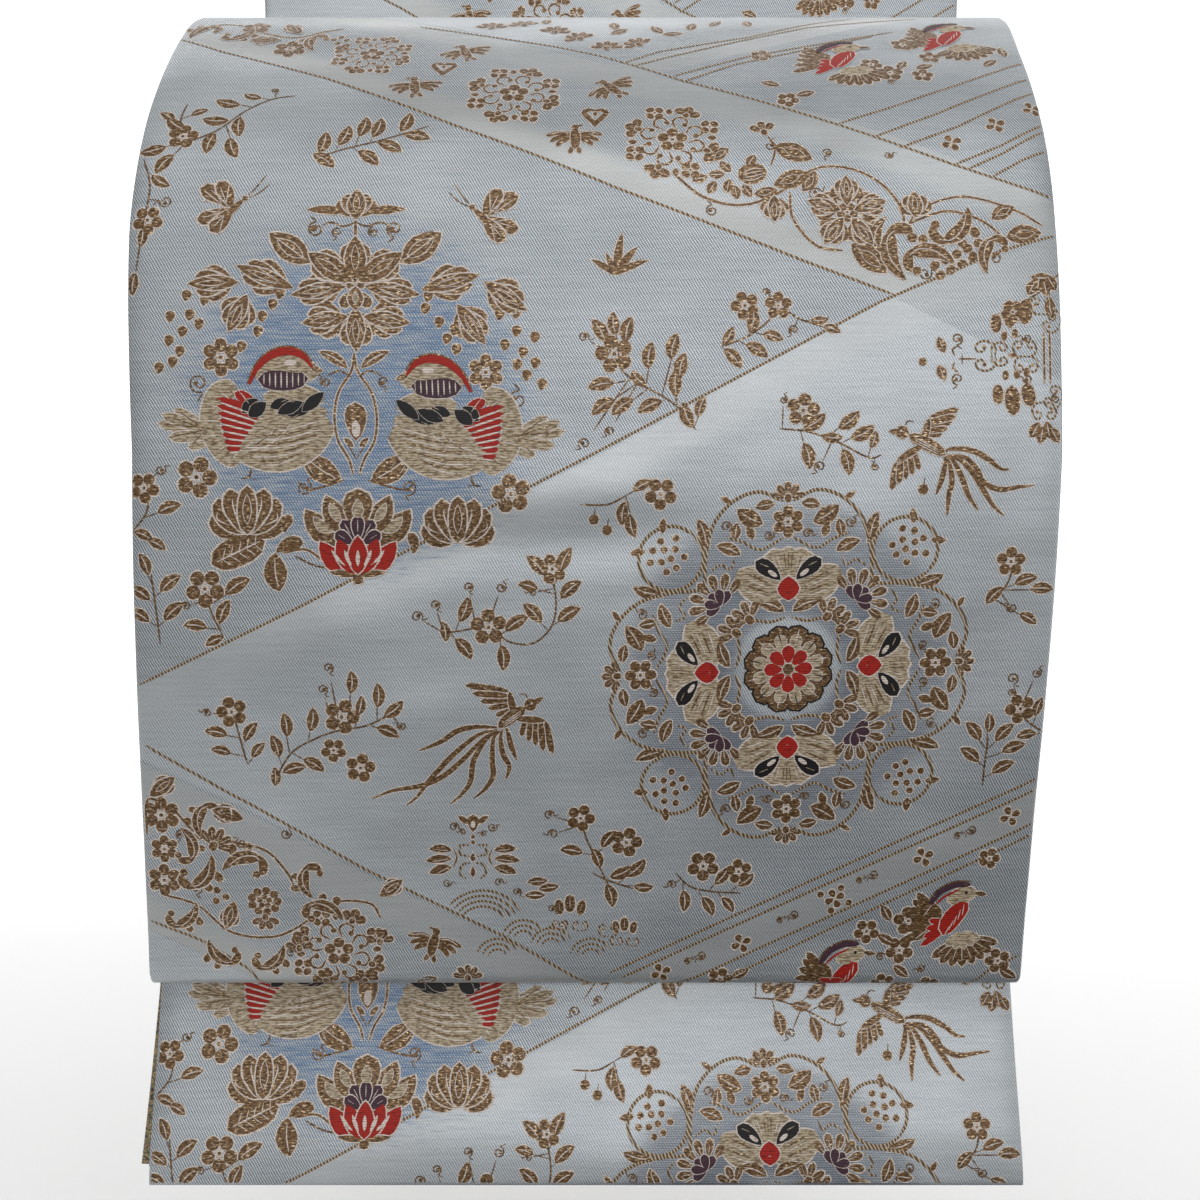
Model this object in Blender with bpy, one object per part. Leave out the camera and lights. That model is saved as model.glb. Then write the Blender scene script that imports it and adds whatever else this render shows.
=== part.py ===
"""Obi sash: a double-faced brocade sash, 0.31 m wide, hung over a rail and drawn into a drum knot.

One long strip runs through the whole part: from the hem of the tail, up inside the drum, round the
drum's bottom fold, up its face, back over its top, up to the rail and down the back. The rest of the
length is folded over the rail under it. Lengths in the tables are millimetres; the mesh is metres.
The origin is the middle of the rail. +X is the sash's left to right seen from the front, -Y the front.
"""

import math
from collections import namedtuple

import bpy
import numpy as np

# ---------------------------------------------------------------- driving sizes, in millimetres
WIDTH = 310.0  # width of the finished sash
FRONT_THICKNESS = 1.2  # wall of the patterned front cloth
LINING_THICKNESS = 1.0  # wall of the plain lining
SEAM_GAP = 0.3  # gap between two pieces that meet
LAYER_GAP = 0.5  # gap between the back and the folded length under it
SELVEDGE_SHOW = 0.7  # lining seen past the front cloth along the left edge
TURNED_EDGE = 1.6  # depth of the front cloth's edge turned over the lining, at the right
HEM_TURN = 7.0  # front cloth turned up behind the lining's end at the tail's hem
TAIL_PEEK = 3.5  # lining seen left of the tail, at its foot
RAIL_RADIUS = 12.0  # clear hollow under the folded length
FOLDED_THICKNESS = 11.8  # the folded length's layers together
FOLDED_LAYERS = 6
FOLDED_WIDTH = 306.0
FRONT_LEG_FOOT = -44.0  # foot of the folded length in front of the rail, from the rail's middle
BACK_LEG_FOOT = -402.0  # foot of the folded length behind the rail
EDGE_ROLL = 0.9  # how far the side edges of a stretch roll back
EDGE_ROLL_WIDTH = 8.0
CROWN = 0.8  # how far the middle of a stretch stands forward

BOTTOM_FOLD_RADIUS = 5.0  # outside of the fold along the drum's bottom
INNER_FOLD_RADIUS = 3.2  # inside of the fold at the top of the inner stretch
CREASE_RADIUS = 2.2  # inside of the crease behind the drum's top
BACK_FOLD_RADIUS = 3.6  # outside of the fold at the foot of the back

RAIL_FOLD_RADIUS = (
    RAIL_RADIUS + FOLDED_THICKNESS + LAYER_GAP + LINING_THICKNESS + SEAM_GAP + FRONT_THICKNESS
)

# Side view of the front cloth's face. depth runs back from the drum's foremost line,
# height is measured from the rail's middle.
Station = namedtuple("Station", "depth height")
DRUM_TO_RAIL = 199.5  # rail's middle behind the drum's foremost line

TAIL = [
    Station(3.0, -466.5),
    Station(3.9, -460.0),
    Station(6.4, -450.5),
    Station(10.3, -439.5),
    Station(14.5, -428.0),
    Station(18.6, -416.0),
    Station(22.5, -404.0),
    Station(27.6, -388.0),
    Station(42.0, -340.0),
    Station(58.0, -280.0),
    Station(72.0, -222.0),
    Station(82.0, -176.0),
]
INNER_MIDDLE = [
    Station(65.4, -221.0),
    Station(51.6, -280.0),
    Station(36.4, -339.0),
]
BOTTOM_FOLD_CENTRE = Station(17.0, -392.0)
DRUM_FACE = [
    Station(11.3, -382.0),
    Station(8.4, -352.0),
    Station(5.4, -322.0),
    Station(2.4, -292.0),
    Station(0.5, -262.0),
    Station(0.0, -235.0),
    Station(0.9, -205.0),
    Station(3.0, -178.0),
    Station(6.4, -152.0),
    Station(12.0, -129.0),
    Station(19.6, -111.0),
    Station(30.0, -94.0),
    Station(43.6, -77.8),
    Station(57.8, -64.0),
    Station(69.6, -53.6),
    Station(77.6, -47.4),
    Station(85.0, -43.2),
    Station(94.0, -39.4),
    Station(104.0, -36.6),
    Station(116.0, -34.8),
    Station(129.0, -34.8),
    Station(142.0, -36.8),
    Station(153.0, -39.8),
    Station(163.0, -43.0),
]
UPPER_DEPTH = 172.7  # the upper stretch's face, straight above the crease
BACK_FOLD_HEIGHT = -403.5

# How far the strip's middle line lies to one side along its way.
Drift = namedtuple("Drift", "mark past sideways")
DRIFT = [
    Drift("hem", 0.0, -4.9),
    Drift("drum", -40.0, -5.6),
    Drift("drum", 5.0, -5.6),
    Drift("drum", 75.0, -4.1),
    Drift("drum", 130.0, -2.6),
    Drift("drum", 198.0, -1.1),
    Drift("drum", 250.0, -2.2),
    Drift("drum", 275.0, -2.7),
    Drift("drum", 325.0, -2.2),
    Drift("drum", 362.0, -1.6),
    Drift("drum", 385.0, -0.5),
    Drift("crease", -5.0, 4.5),
    Drift("rail", 0.0, 4.9),
    Drift("end", 0.0, 2.0),
]

# Soft folds of the drum's face. past runs from the drum's start at its bottom fold, across from the
# middle line; reach is half a fold's length, breadth half its width, lean its turn in degrees.
Fold = namedtuple("Fold", "past across reach breadth lean rise")
FOLDS = [
    Fold(168.0, -18.0, 62.0, 9.0, 5.0, -0.9),
    Fold(186.0, -10.0, 75.0, 12.0, 4.0, 0.8),
    Fold(136.0, -92.0, 38.0, 10.0, 14.0, 0.9),
    Fold(106.0, -80.0, 44.0, 9.0, 10.0, 0.9),
    Fold(52.0, -108.0, 26.0, 15.0, 18.0, 1.7),
    Fold(88.0, -60.0, 70.0, 10.0, -24.0, -0.8),
    Fold(60.0, 60.0, 70.0, 16.0, 14.0, -0.8),
    Fold(120.0, 110.0, 40.0, 22.0, 8.0, -0.7),
    Fold(300.0, 20.0, 90.0, 20.0, -10.0, 0.6),
]

CLOTH_COLOUR = (0.74, 0.76, 0.79, 1.0)
LINING_COLOUR = (0.32, 0.30, 0.27, 1.0)

STEP = 0.25  # spacing of the dense side line
FACE_STEP = 14.0  # longest step between two rings of a hidden wall
DRUM_STEP = 7.5  # longest step between two rings of the drum
TURN_STEP = math.radians(15.0)  # sharpest turn between two rings


# ---------------------------------------------------------------- the side line of the strip
def direction(degrees):
    """Unit vector (back, up) at an angle above the line running back."""
    return np.array([math.cos(math.radians(degrees)), math.sin(math.radians(degrees))])


def facing(tangent):
    """The side that the patterned face looks to, for a strip running along the tangent."""
    return np.array([-tangent[1], tangent[0]])


def curve_through(points, start, end):
    """Smooth line through the points, leaving and arriving along two unit vectors."""
    points = np.asarray(points, float)
    chords = np.linalg.norm(np.diff(points, axis=0), axis=1)
    slopes = np.diff(points, axis=0) / chords[:, None]
    inner = slopes[:-1] * chords[1:, None] + slopes[1:] * chords[:-1, None]
    inner /= (chords[:-1] + chords[1:])[:, None]
    inner /= np.linalg.norm(inner, axis=1)[:, None]
    tangents = np.vstack([start, inner, end])
    pieces = []
    for i, chord in enumerate(chords):
        count = max(2, int(chord / STEP))
        t = np.linspace(0.0, 1.0, count, endpoint=False)[:, None]
        pieces.append(
            (2 * t**3 - 3 * t**2 + 1) * points[i]
            + (t**3 - 2 * t**2 + t) * chord * tangents[i]
            + (-2 * t**3 + 3 * t**2) * points[i + 1]
            + (t**3 - t**2) * chord * tangents[i + 1]
        )
    pieces.append(points[-1:])
    return np.vstack(pieces)


def arc(centre, radius, first, last):
    """Points on a circle from one angle to another, in degrees, either way round."""
    count = max(8, int(radius * math.radians(abs(last - first)) / STEP))
    angles = np.radians(np.linspace(first, last, count))
    return np.asarray(centre, float) + radius * np.stack([np.cos(angles), np.sin(angles)], axis=1)


def straight(first, last):
    """Evenly spaced points between two points."""
    count = max(2, int(math.dist(first, last) / STEP))
    t = np.linspace(0.0, 1.0, count)[:, None]
    return (1 - t) * np.asarray(first, float) + t * np.asarray(last, float)


class SideLine:
    """The patterned face seen from the side, from the tail's hem to the foot of the back."""

    def __init__(self):
        """Joins the stretches with arcs and notes where each begins."""
        pieces = []
        marks = {"hem": 0}
        tail_top = np.array(TAIL[-1])
        lean = (tail_top - np.array(TAIL[-2])) / math.dist(TAIL[-1], TAIL[-2])
        pieces.append(curve_through(TAIL, direction(90.0), lean))

        marks["inner"] = len(pieces[0])
        lean_angle = math.degrees(math.atan2(lean[1], lean[0]))
        turn = tail_top + INNER_FOLD_RADIUS * facing(lean)
        pieces.append(arc(turn, INNER_FOLD_RADIUS, lean_angle - 90.0, lean_angle + 90.0)[1:])

        descent = direction(-106.0)
        inner_points = [tail_top + 2 * INNER_FOLD_RADIUS * facing(lean)] + INNER_MIDDLE
        fold_start = np.array(BOTTOM_FOLD_CENTRE) + BOTTOM_FOLD_RADIUS * facing(descent)
        pieces.append(curve_through(inner_points + [fold_start], -lean, descent)[1:])

        marks["drum"] = sum(len(piece) for piece in pieces)
        rise = direction(99.0)
        pieces.append(arc(BOTTOM_FOLD_CENTRE, BOTTOM_FOLD_RADIUS, -16.0, -171.0)[1:])
        fold_end = np.array(BOTTOM_FOLD_CENTRE) + BOTTOM_FOLD_RADIUS * facing(rise)
        fall = direction(-17.0)
        pieces.append(curve_through([fold_end] + DRUM_FACE, rise, fall)[1:])

        marks["crease"] = sum(len(piece) for piece in pieces)
        last = np.array(DRUM_FACE[-1])
        corner = last + fall * (UPPER_DEPTH - last[0]) / fall[0]
        reach = CREASE_RADIUS * math.tan(math.radians(107.0 / 2))
        pieces.append(straight(last, corner - reach * fall)[1:])
        centre = np.array([UPPER_DEPTH - CREASE_RADIUS, corner[1] + reach])
        pieces.append(arc(centre, CREASE_RADIUS, -107.0, 0.0)[1:])

        pieces.append(straight([UPPER_DEPTH, centre[1]], [UPPER_DEPTH, 0.0])[1:])
        marks["rail"] = sum(len(piece) for piece in pieces)
        rail = [UPPER_DEPTH + RAIL_FOLD_RADIUS, 0.0]
        pieces.append(arc(rail, RAIL_FOLD_RADIUS, 180.0, 0.0)[1:])
        back = UPPER_DEPTH + 2 * RAIL_FOLD_RADIUS
        marks["back"] = sum(len(piece) for piece in pieces)
        pieces.append(straight([back, 0.0], [back, BACK_FOLD_HEIGHT])[1:])
        foot = [back - BACK_FOLD_RADIUS, BACK_FOLD_HEIGHT]
        pieces.append(arc(foot, BACK_FOLD_RADIUS, 0.0, -180.0)[1:])
        under = back - 2 * BACK_FOLD_RADIUS
        pieces.append(straight([under, BACK_FOLD_HEIGHT], [under, BACK_FOLD_HEIGHT + 1.2])[1:])

        self.points = np.vstack(pieces)
        steps = np.linalg.norm(np.diff(self.points, axis=0), axis=1)
        self.along = np.concatenate([[0.0], np.cumsum(steps)])
        tangents = np.gradient(self.points, self.along, axis=0)
        self.tangents = tangents / np.linalg.norm(tangents, axis=1)[:, None]
        self.angles = np.unwrap(np.arctan2(self.tangents[:, 1], self.tangents[:, 0]))
        self.marks = {name: self.along[index] for name, index in marks.items()}
        self.marks["end"] = self.along[-1]
        ends = np.cumsum([len(piece) for piece in pieces])[:-1] - 1
        self.joints = self.along[ends]

    def at(self, along):
        """Positions and facings at distances along the strip, as two arrays of (back, up)."""
        points = np.stack([np.interp(along, self.along, column) for column in self.points.T], axis=1)
        angle = np.interp(along, self.along, self.angles)
        return points, np.stack([-np.sin(angle), np.cos(angle)], axis=1)

    def sideways(self, along):
        """How far the strip's middle line lies to one side."""
        where = [self.marks[row.mark] + row.past for row in DRIFT]
        return np.interp(along, where, [row.sideways for row in DRIFT])

    def rings(self, first, last, extra=(), step=FACE_STEP):
        """Distances for a wall's rings: close where the line turns, wide where it is flat."""
        chosen = [first]
        inside = np.flatnonzero((self.along > first) & (self.along < last))
        angle = np.interp(first, self.along, self.angles)
        for index in inside:
            far = self.along[index] - chosen[-1] >= step
            joint = np.any(np.abs(self.joints - self.along[index]) < 1e-6)
            if far or joint or abs(self.angles[index] - angle) >= TURN_STEP:
                chosen.append(self.along[index])
                angle = self.angles[index]
        if last - chosen[-1] < 0.4 and len(chosen) > 1:
            chosen.pop()
        chosen.append(last)
        kept = [s for s in chosen if all(abs(s - e) > 0.8 for e in extra) or s in (first, last)]
        return np.array(sorted(set(kept) | set(extra)))


LINE = SideLine()


def swell(across, along):
    """Crown, edge roll and soft folds of the cloth, along the facing.

    The crown falls off with the square of the distance across, the roll grows with the square of the
    distance into the edge, and each fold is a bell of its own rise, turned by its lean.
    """
    share = np.clip(np.abs(across) / (WIDTH / 2), 0.0, 1.2)
    edge = np.clip((np.abs(across) - (WIDTH / 2 - EDGE_ROLL_WIDTH)) / EDGE_ROLL_WIDTH, 0.0, 1.5)
    past = along - LINE.marks["drum"]
    on_face = np.clip((past - 12.0) / 60.0, 0.0, 1.0) * np.clip((390.0 - past) / 60.0, 0.0, 1.0)
    on_tail = np.clip((along - 3.0) / 15.0, 0.0, 1.0) * np.clip((95.0 - along) / 30.0, 0.0, 1.0)
    off = CROWN * on_face * (1.0 - share**2) - EDGE_ROLL * (on_face + on_tail) * edge**2
    for fold in FOLDS:
        turn = math.radians(fold.lean)
        right = (across - fold.across) * math.cos(turn) + (past - fold.past) * math.sin(turn)
        up = (past - fold.past) * math.cos(turn) - (across - fold.across) * math.sin(turn)
        fade = np.clip((past - 14.0) / 20.0, 0.0, 1.0)
        off = off + fade * fold.rise * np.exp(-((right / fold.reach) ** 2) - (up / fold.breadth) ** 2)
    return off


# ---------------------------------------------------------------- sections across the strip
def columns(left, right):
    """Distances across a wall: wide in the middle, close at both edges."""
    inner = [0.0, 18.0, 38.0, 58.0, 78.0, 96.0, 114.0, 130.0, 142.0, 149.0]
    spread = sorted([-value for value in inner[1:]] + inner)
    body = [value for value in spread if left + 4.5 < value < right - 4.5]
    return np.array([left + 2.6] + body + [right - 2.6])


def rounded_end(x, high, low, outward):
    """Three points round a wall's side edge, from its face to its back."""
    reach = outward * (high - low) / 2
    return [
        (x - 0.3 * reach, high - 0.0),
        (x, (high + low) / 2),
        (x - 0.3 * reach, low + 0.0),
    ]


def plain_section(left, right, high, low):
    """Closed section of a flat wall with rounded side edges, as (across, off) points."""
    face = [(x, high) for x in columns(left, right)]
    back = [(x, low) for x in columns(left, right)[::-1]]
    return np.array(
        face + rounded_end(right, high, low, 1.0) + back + rounded_end(left, high, low, -1.0)[::-1]
    )


def turned_section(left, right, high, low, lip):
    """Closed section of the front cloth, its right edge turned back over the lining to the lip."""
    face = [(x, high) for x in columns(left, right)]
    middle = (high + lip) / 2
    half = (high - lip) / 2
    edge = [
        (right - 0.55 * half, high),
        (right - 0.12 * half, middle + 0.55 * half),
        (right - 0.12 * half, middle - 0.55 * half),
        (right - 0.55 * half, lip),
        (right - TURNED_EDGE, lip),
        (right - TURNED_EDGE, low),
    ]
    back = [(x, low) for x in columns(left, right)[::-1]]
    return np.array(face + edge + back + rounded_end(left, high, low, -1.0)[::-1])


# ---------------------------------------------------------------- meshes
def material(name, colour, roughness):
    """A Principled material of one colour."""
    made = bpy.data.materials.new(name)
    made.use_nodes = True
    shader = made.node_tree.nodes["Principled BSDF"]
    shader.inputs["Base Color"].default_value = colour
    shader.inputs["Roughness"].default_value = roughness
    made.diffuse_color = colour
    return made


def add_object(name, points, faces, colour, roughness):
    """Adds a mesh, given in millimetres as (across, back, up), as one object in metres."""
    mesh = bpy.data.meshes.new(name)
    moved = (np.asarray(points) - np.array([0.0, DRUM_TO_RAIL, 0.0])) * 0.001
    mesh.from_pydata([tuple(point) for point in moved.tolist()], [], faces)
    mesh.update()
    mesh.validate()
    made = bpy.data.objects.new(name, mesh)
    made.data.materials.append(material(name + "_finish", colour, roughness))
    bpy.context.scene.collection.objects.link(made)
    return made


def swept_faces(rings, count, across=None):
    """Triangles of a tube of rings. Each pair splits its quad between the same two corners of the
    cloth on the face and on the back, so that two walls that lie on each other keep their gap.
    """
    faces = []
    for k in range(count):
        after = (k + 1) % count
        backward = across is not None and across[after] < across[k]
        for ring in range(rings - 1):
            a = ring * count + k
            b = ring * count + after
            c = b + count
            d = a + count
            if across is None:
                faces.append((a, b, c, d))
            elif backward:
                faces.append((a, b, d))
                faces.append((b, c, d))
            else:
                faces.append((a, b, c))
                faces.append((a, c, d))
    return faces


def end_caps(rings, count):
    """One face over each end of a tube of rings."""
    return [tuple(range(count))[::-1], tuple(range((rings - 1) * count, rings * count))]


def wall(name, along, section, colour, roughness, drift=LINE.sideways):
    """One wall of cloth: the section at each ring, swept along the side line."""
    rings = []
    for s in along:
        shape = section(s)
        point, out = LINE.at(np.array([s]))
        off = shape[:, 1] + swell(shape[:, 0], s)
        across = shape[:, 0] + drift(s)
        rings.append(
            np.stack([across, point[0, 0] + off * out[0, 0], point[0, 1] + off * out[0, 1]], axis=1)
        )
    count = len(rings[0])
    faces = swept_faces(len(rings), count, rings[0][:, 0]) + end_caps(len(rings), count)
    return add_object(name, np.vstack(rings), faces, colour, roughness)


def lining_low():
    """Back of the lining, off the front cloth's face."""
    return -(FRONT_THICKNESS + SEAM_GAP + LINING_THICKNESS)


def front_section(_along):
    """The front cloth on every stretch but the tail's hem."""
    left = -WIDTH / 2 + SELVEDGE_SHOW
    return turned_section(left, WIDTH / 2, 0.0, -FRONT_THICKNESS, lining_low())


def lining_section(_along):
    """The lining behind the front cloth, its left selvedge showing past it."""
    high = -(FRONT_THICKNESS + SEAM_GAP)
    right = WIDTH / 2 - TURNED_EDGE - SEAM_GAP
    return plain_section(-WIDTH / 2, right, high, lining_low())


def tail_section(along):
    """The front cloth of the tail, thickened where its hem is turned up and rounded at the foot."""
    left = -WIDTH / 2
    lip = lining_low() - 0.1
    low = lip if along < HEM_TURN - 0.2 else -FRONT_THICKNESS
    half = -lip / 2
    round_off = half - math.sqrt(max(0.0, half**2 - max(0.0, half - along) ** 2))
    round_off = min(round_off, 0.8 * half)
    high = -round_off
    if along < HEM_TURN - 0.2:
        low = lip + round_off
    return turned_section(left, WIDTH / 2, high, low, min(low, lip + round_off) - 0.02)


def tail_lining_section(along):
    """The tail's lining, drawn out to the left towards the foot."""
    high = -(FRONT_THICKNESS + SEAM_GAP)
    right = WIDTH / 2 - TURNED_EDGE - SEAM_GAP
    share = np.clip(1.0 - along / 75.0, 0.0, 1.0)
    left = -WIDTH / 2 - 0.9 - (TAIL_PEEK - 0.9) * share
    return plain_section(left, right, high, lining_low())


def folded_length():
    """The rest of the sash, folded in layers over the rail: one rounded solid."""
    inner = RAIL_RADIUS
    outer = RAIL_RADIUS + FOLDED_THICKNESS
    middle = (inner + outer) / 2
    half = FOLDED_THICKNESS / 2
    rail = np.array([DRUM_TO_RAIL, 0.0])
    outline = []
    front = rail + np.array([-middle, FRONT_LEG_FOOT + half])
    back = rail + np.array([middle, BACK_LEG_FOOT + half])
    outline.append(circle(front, half, 0.0, -180.0, 9))
    outline.append(circle(rail, outer, 180.0, 0.0, 17))
    outline.append(column(rail + np.array([outer, 0.0]), back + np.array([half, 0.0]), 8))
    outline.append(circle(back, half, 0.0, -180.0, 9))
    outline.append(column(back - np.array([half, 0.0]), rail + np.array([inner, 0.0]), 8))
    outline.append(circle(rail, inner, 0.0, 180.0, 17))
    side = np.vstack(outline)
    closing = np.linalg.norm(side - np.roll(side, 1, axis=0), axis=1) > 1e-6
    side = side[closing]
    count = len(side)
    centre = side.copy()
    rings = []
    half_width = FOLDED_WIDTH / 2
    shrink = 1.2
    for x, inset in (
        (-half_width, shrink),
        (-half_width + shrink, 0.0),
        (half_width - shrink, 0.0),
        (half_width, shrink),
    ):
        moved = inset_line(centre, inset)
        rings.append(np.column_stack([np.full(count, x + 4.0), moved]))
    faces = swept_faces(len(rings), count) + end_caps(len(rings), count)
    faces = [face[::-1] for face in faces]
    return add_object("folded_length", np.vstack(rings), faces, CLOTH_COLOUR, 0.5)


def circle(centre, radius, first, last, count):
    """Evenly spaced points on part of a circle, in degrees."""
    angles = np.radians(np.linspace(first, last, count))
    return np.asarray(centre) + radius * np.stack([np.cos(angles), np.sin(angles)], axis=1)


def column(first, last, count):
    """Points between two points, leaving both out."""
    t = np.linspace(0.0, 1.0, count + 2)[1:-1, None]
    return (1 - t) * first + t * last


def inset_line(points, inset):
    """A closed line of points drawn inwards by a distance."""
    if inset == 0.0:
        return points
    run = np.roll(points, -1, axis=0) - np.roll(points, 1, axis=0)
    run /= np.linalg.norm(run, axis=1)[:, None]
    normal = np.stack([run[:, 1], -run[:, 0]], axis=1)
    return points + inset * normal


def build():
    """Clears the scene and adds every piece of the sash."""
    for obj in list(bpy.data.objects):
        bpy.data.objects.remove(obj, do_unlink=True)
    marks = LINE.marks
    half_gap = SEAM_GAP / 2
    hem = [0.0, 0.2, 0.6, 1.25, 3.5, HEM_TURN - 0.4, HEM_TURN]
    spans = {
        "tail": (0.0, marks["inner"] - 8.0),
        "inner": (marks["inner"] - 8.0, marks["drum"] - 30.0),
        "drum": (marks["drum"] - 30.0, marks["crease"] + 2.0),
        "upper": (marks["crease"] + 2.0, marks["rail"]),
        "back": (marks["rail"], marks["end"]),
    }
    for stretch, (first, last) in spans.items():
        start = first + (half_gap if first > 0.0 else 0.0)
        stop = last - (half_gap if last < marks["end"] else 0.0)
        if stretch == "tail":
            along = LINE.rings(start, stop, tuple(hem))
            wall("tail_front", along, tail_section, CLOTH_COLOUR, 0.45)
            along = LINE.rings(HEM_TURN + SEAM_GAP, stop)
            wall("tail_lining", along, tail_lining_section, LINING_COLOUR, 0.6)
            continue
        along = LINE.rings(start, stop, step=DRUM_STEP if stretch == "drum" else FACE_STEP)
        wall(stretch + "_front", along, front_section, CLOTH_COLOUR, 0.45)
        wall(stretch + "_lining", along, lining_section, LINING_COLOUR, 0.6)
    folded_length()


build()
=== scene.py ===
"""Obi sash: woven brocade hung over a rail and drawn into a drum knot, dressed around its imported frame.

The cloth is one strip, 0.31 m wide. It is described by a side line, seen from the sash's left, and by a
section across it. A place on the cloth is (across, along): millimetres from the middle line, and
millimetres from the tail's hem. Every cloth, motif and line of thread is laid out in those two and
carried onto the strip by the same formula, so that all of them fold together.
"""

from __future__ import annotations

import logging
import math
from contextlib import contextmanager
from dataclasses import dataclass, field
from enum import Enum
from typing import Callable, Iterator, Sequence, TypeAlias

import bpy
import numpy as np
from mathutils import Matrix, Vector


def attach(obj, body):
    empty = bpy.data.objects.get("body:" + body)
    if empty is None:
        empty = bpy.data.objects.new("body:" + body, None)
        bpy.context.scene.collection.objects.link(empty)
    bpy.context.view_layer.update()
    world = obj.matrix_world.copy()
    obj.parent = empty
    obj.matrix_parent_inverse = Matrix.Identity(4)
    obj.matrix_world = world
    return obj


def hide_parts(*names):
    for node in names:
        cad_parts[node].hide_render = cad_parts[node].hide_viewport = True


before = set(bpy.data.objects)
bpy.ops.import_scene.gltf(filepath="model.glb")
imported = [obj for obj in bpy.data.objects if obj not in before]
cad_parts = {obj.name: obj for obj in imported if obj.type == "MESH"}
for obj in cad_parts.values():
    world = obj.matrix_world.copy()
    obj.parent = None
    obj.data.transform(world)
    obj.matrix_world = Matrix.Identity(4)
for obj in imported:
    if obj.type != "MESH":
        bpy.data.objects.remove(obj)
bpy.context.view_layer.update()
LOG = logging.getLogger("obi_sash")
Pair = tuple[float, float]
Run = Sequence[Pair]


# ---------------------------------------------------------------- the strip of cloth, in millimetres
@dataclass(frozen=True)
class Strip:
    """Sizes of the sash as it hangs, in millimetres.

    Places are (depth, height): depth runs back from the drum's foremost line, height up from the rail.
    """

    width: float = 310.0
    drum_to_rail: float = 199.5  # depth of the rail's middle
    repeat: float = 339.3  # length of one repeat of the woven pattern
    upper_origin: float = 178.6  # how far past the drum's start the pattern begins again above the crease
    crown: float = 0.8  # how far the middle of a worn face stands off its sides
    roll: float = 0.9  # how far its edges roll back
    roll_breadth: float = 8.0
    # radii of the patterned face's folds, from the tail's to the one at the foot of the back
    inner_fold: float = 3.2
    bottom_fold: float = 5.0
    crease: float = 2.2
    rail_fold: float = 26.8
    back_fold: float = 3.6
    # the ways that the side line takes into the bottom fold, out of it and into the crease, in degrees
    descent: float = -106.0
    ascent: float = 99.0
    fall: float = -17.0
    bottom_centre: Pair = (17.0, -392.0)  # middle of the bottom fold
    upper_depth: float = 172.7  # depth of the upper stretch's face
    back_foot: float = -403.5
    tail: Run = (
        (3.0, -466.5), (3.9, -460.0), (6.4, -450.5), (10.3, -439.5), (14.5, -428.0), (18.6, -416.0),
        (22.5, -404.0), (27.6, -388.0), (42.0, -340.0), (58.0, -280.0), (72.0, -222.0), (82.0, -176.0),
    )
    inner: Run = ((65.4, -221.0), (51.6, -280.0), (36.4, -339.0))
    face: Run = (
        (11.3, -382.0), (8.4, -352.0), (5.4, -322.0), (2.4, -292.0), (0.5, -262.0), (0.0, -235.0),
        (0.9, -205.0), (3.0, -178.0), (6.4, -152.0), (12.0, -129.0), (19.6, -111.0), (30.0, -94.0),
        (43.6, -77.8), (57.8, -64.0), (69.6, -53.6), (77.6, -47.4), (85.0, -43.2), (94.0, -39.4),
        (104.0, -36.6), (116.0, -34.8), (129.0, -34.8), (142.0, -36.8), (153.0, -39.8), (163.0, -43.0),
    )
    # (mark, past, sideways): how far the middle line lies to one side
    drift: tuple[tuple[str, float, float], ...] = (
        ("hem", 0.0, -4.9), ("drum", -40.0, -5.6), ("drum", 5.0, -5.6), ("drum", 75.0, -4.1),
        ("drum", 130.0, -2.6), ("drum", 198.0, -1.1), ("drum", 250.0, -2.2), ("drum", 275.0, -2.7),
        ("drum", 325.0, -2.2), ("drum", 362.0, -1.6), ("drum", 385.0, -0.5), ("crease", -5.0, 4.5),
        ("rail", 0.0, 4.9), ("end", 0.0, 2.0),
    )
    # (past the drum's start, across, reach, breadth, lean, rise): soft folds of the drum's face
    folds: tuple[tuple[float, ...], ...] = (
        (168.0, -18.0, 62.0, 9.0, 5.0, -0.9), (186.0, -10.0, 75.0, 12.0, 4.0, 0.8),
        (136.0, -92.0, 38.0, 10.0, 14.0, 0.9), (106.0, -80.0, 44.0, 9.0, 10.0, 0.9),
        (52.0, -108.0, 26.0, 15.0, 18.0, 1.7), (88.0, -60.0, 70.0, 10.0, -24.0, -0.8),
        (60.0, 60.0, 70.0, 16.0, 14.0, -0.8), (120.0, 110.0, 40.0, 22.0, 8.0, -0.7),
        (300.0, 20.0, 90.0, 20.0, -10.0, 0.6),
        # finer ones, which only the finished cloth has
        (78.0, -112.0, 34.0, 4.5, 22.0, -0.35), (38.0, -60.0, 60.0, 6.0, -20.0, 0.40),
        (150.0, 20.0, 70.0, 5.0, 3.0, -0.30), (214.0, 60.0, 60.0, 7.0, 26.0, 0.30),
        (236.0, 100.0, 40.0, 6.0, 27.0, -0.35), (262.0, 20.0, 80.0, 6.0, -24.0, 0.25),
        (282.0, 60.0, 70.0, 5.0, -25.0, -0.30), (318.0, -40.0, 80.0, 6.0, -22.0, 0.25),
        (28.0, 90.0, 60.0, 6.0, 8.0, -0.40), (100.0, 30.0, 50.0, 8.0, 10.0, 0.25),
        (196.0, 120.0, 26.0, 9.0, 20.0, 0.45), (130.0, 140.0, 14.0, 24.0, 0.0, -0.45),
    )


STEP = 0.25  # spacing of the side line's places, in millimetres
SEAM = 0.15  # half the gap between the cloths of two stretches


def ramp(value: np.ndarray, foot: float, breadth: float) -> np.ndarray:
    """From 0 at the foot to 1 a breadth further on. A negative breadth runs the other way."""
    return np.clip((value - foot) / breadth, 0.0, 1.0)


def direction(degrees: float) -> np.ndarray:
    """Unit vector (back, up) at an angle above the line running back."""
    return np.array([math.cos(math.radians(degrees)), math.sin(math.radians(degrees))])


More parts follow.
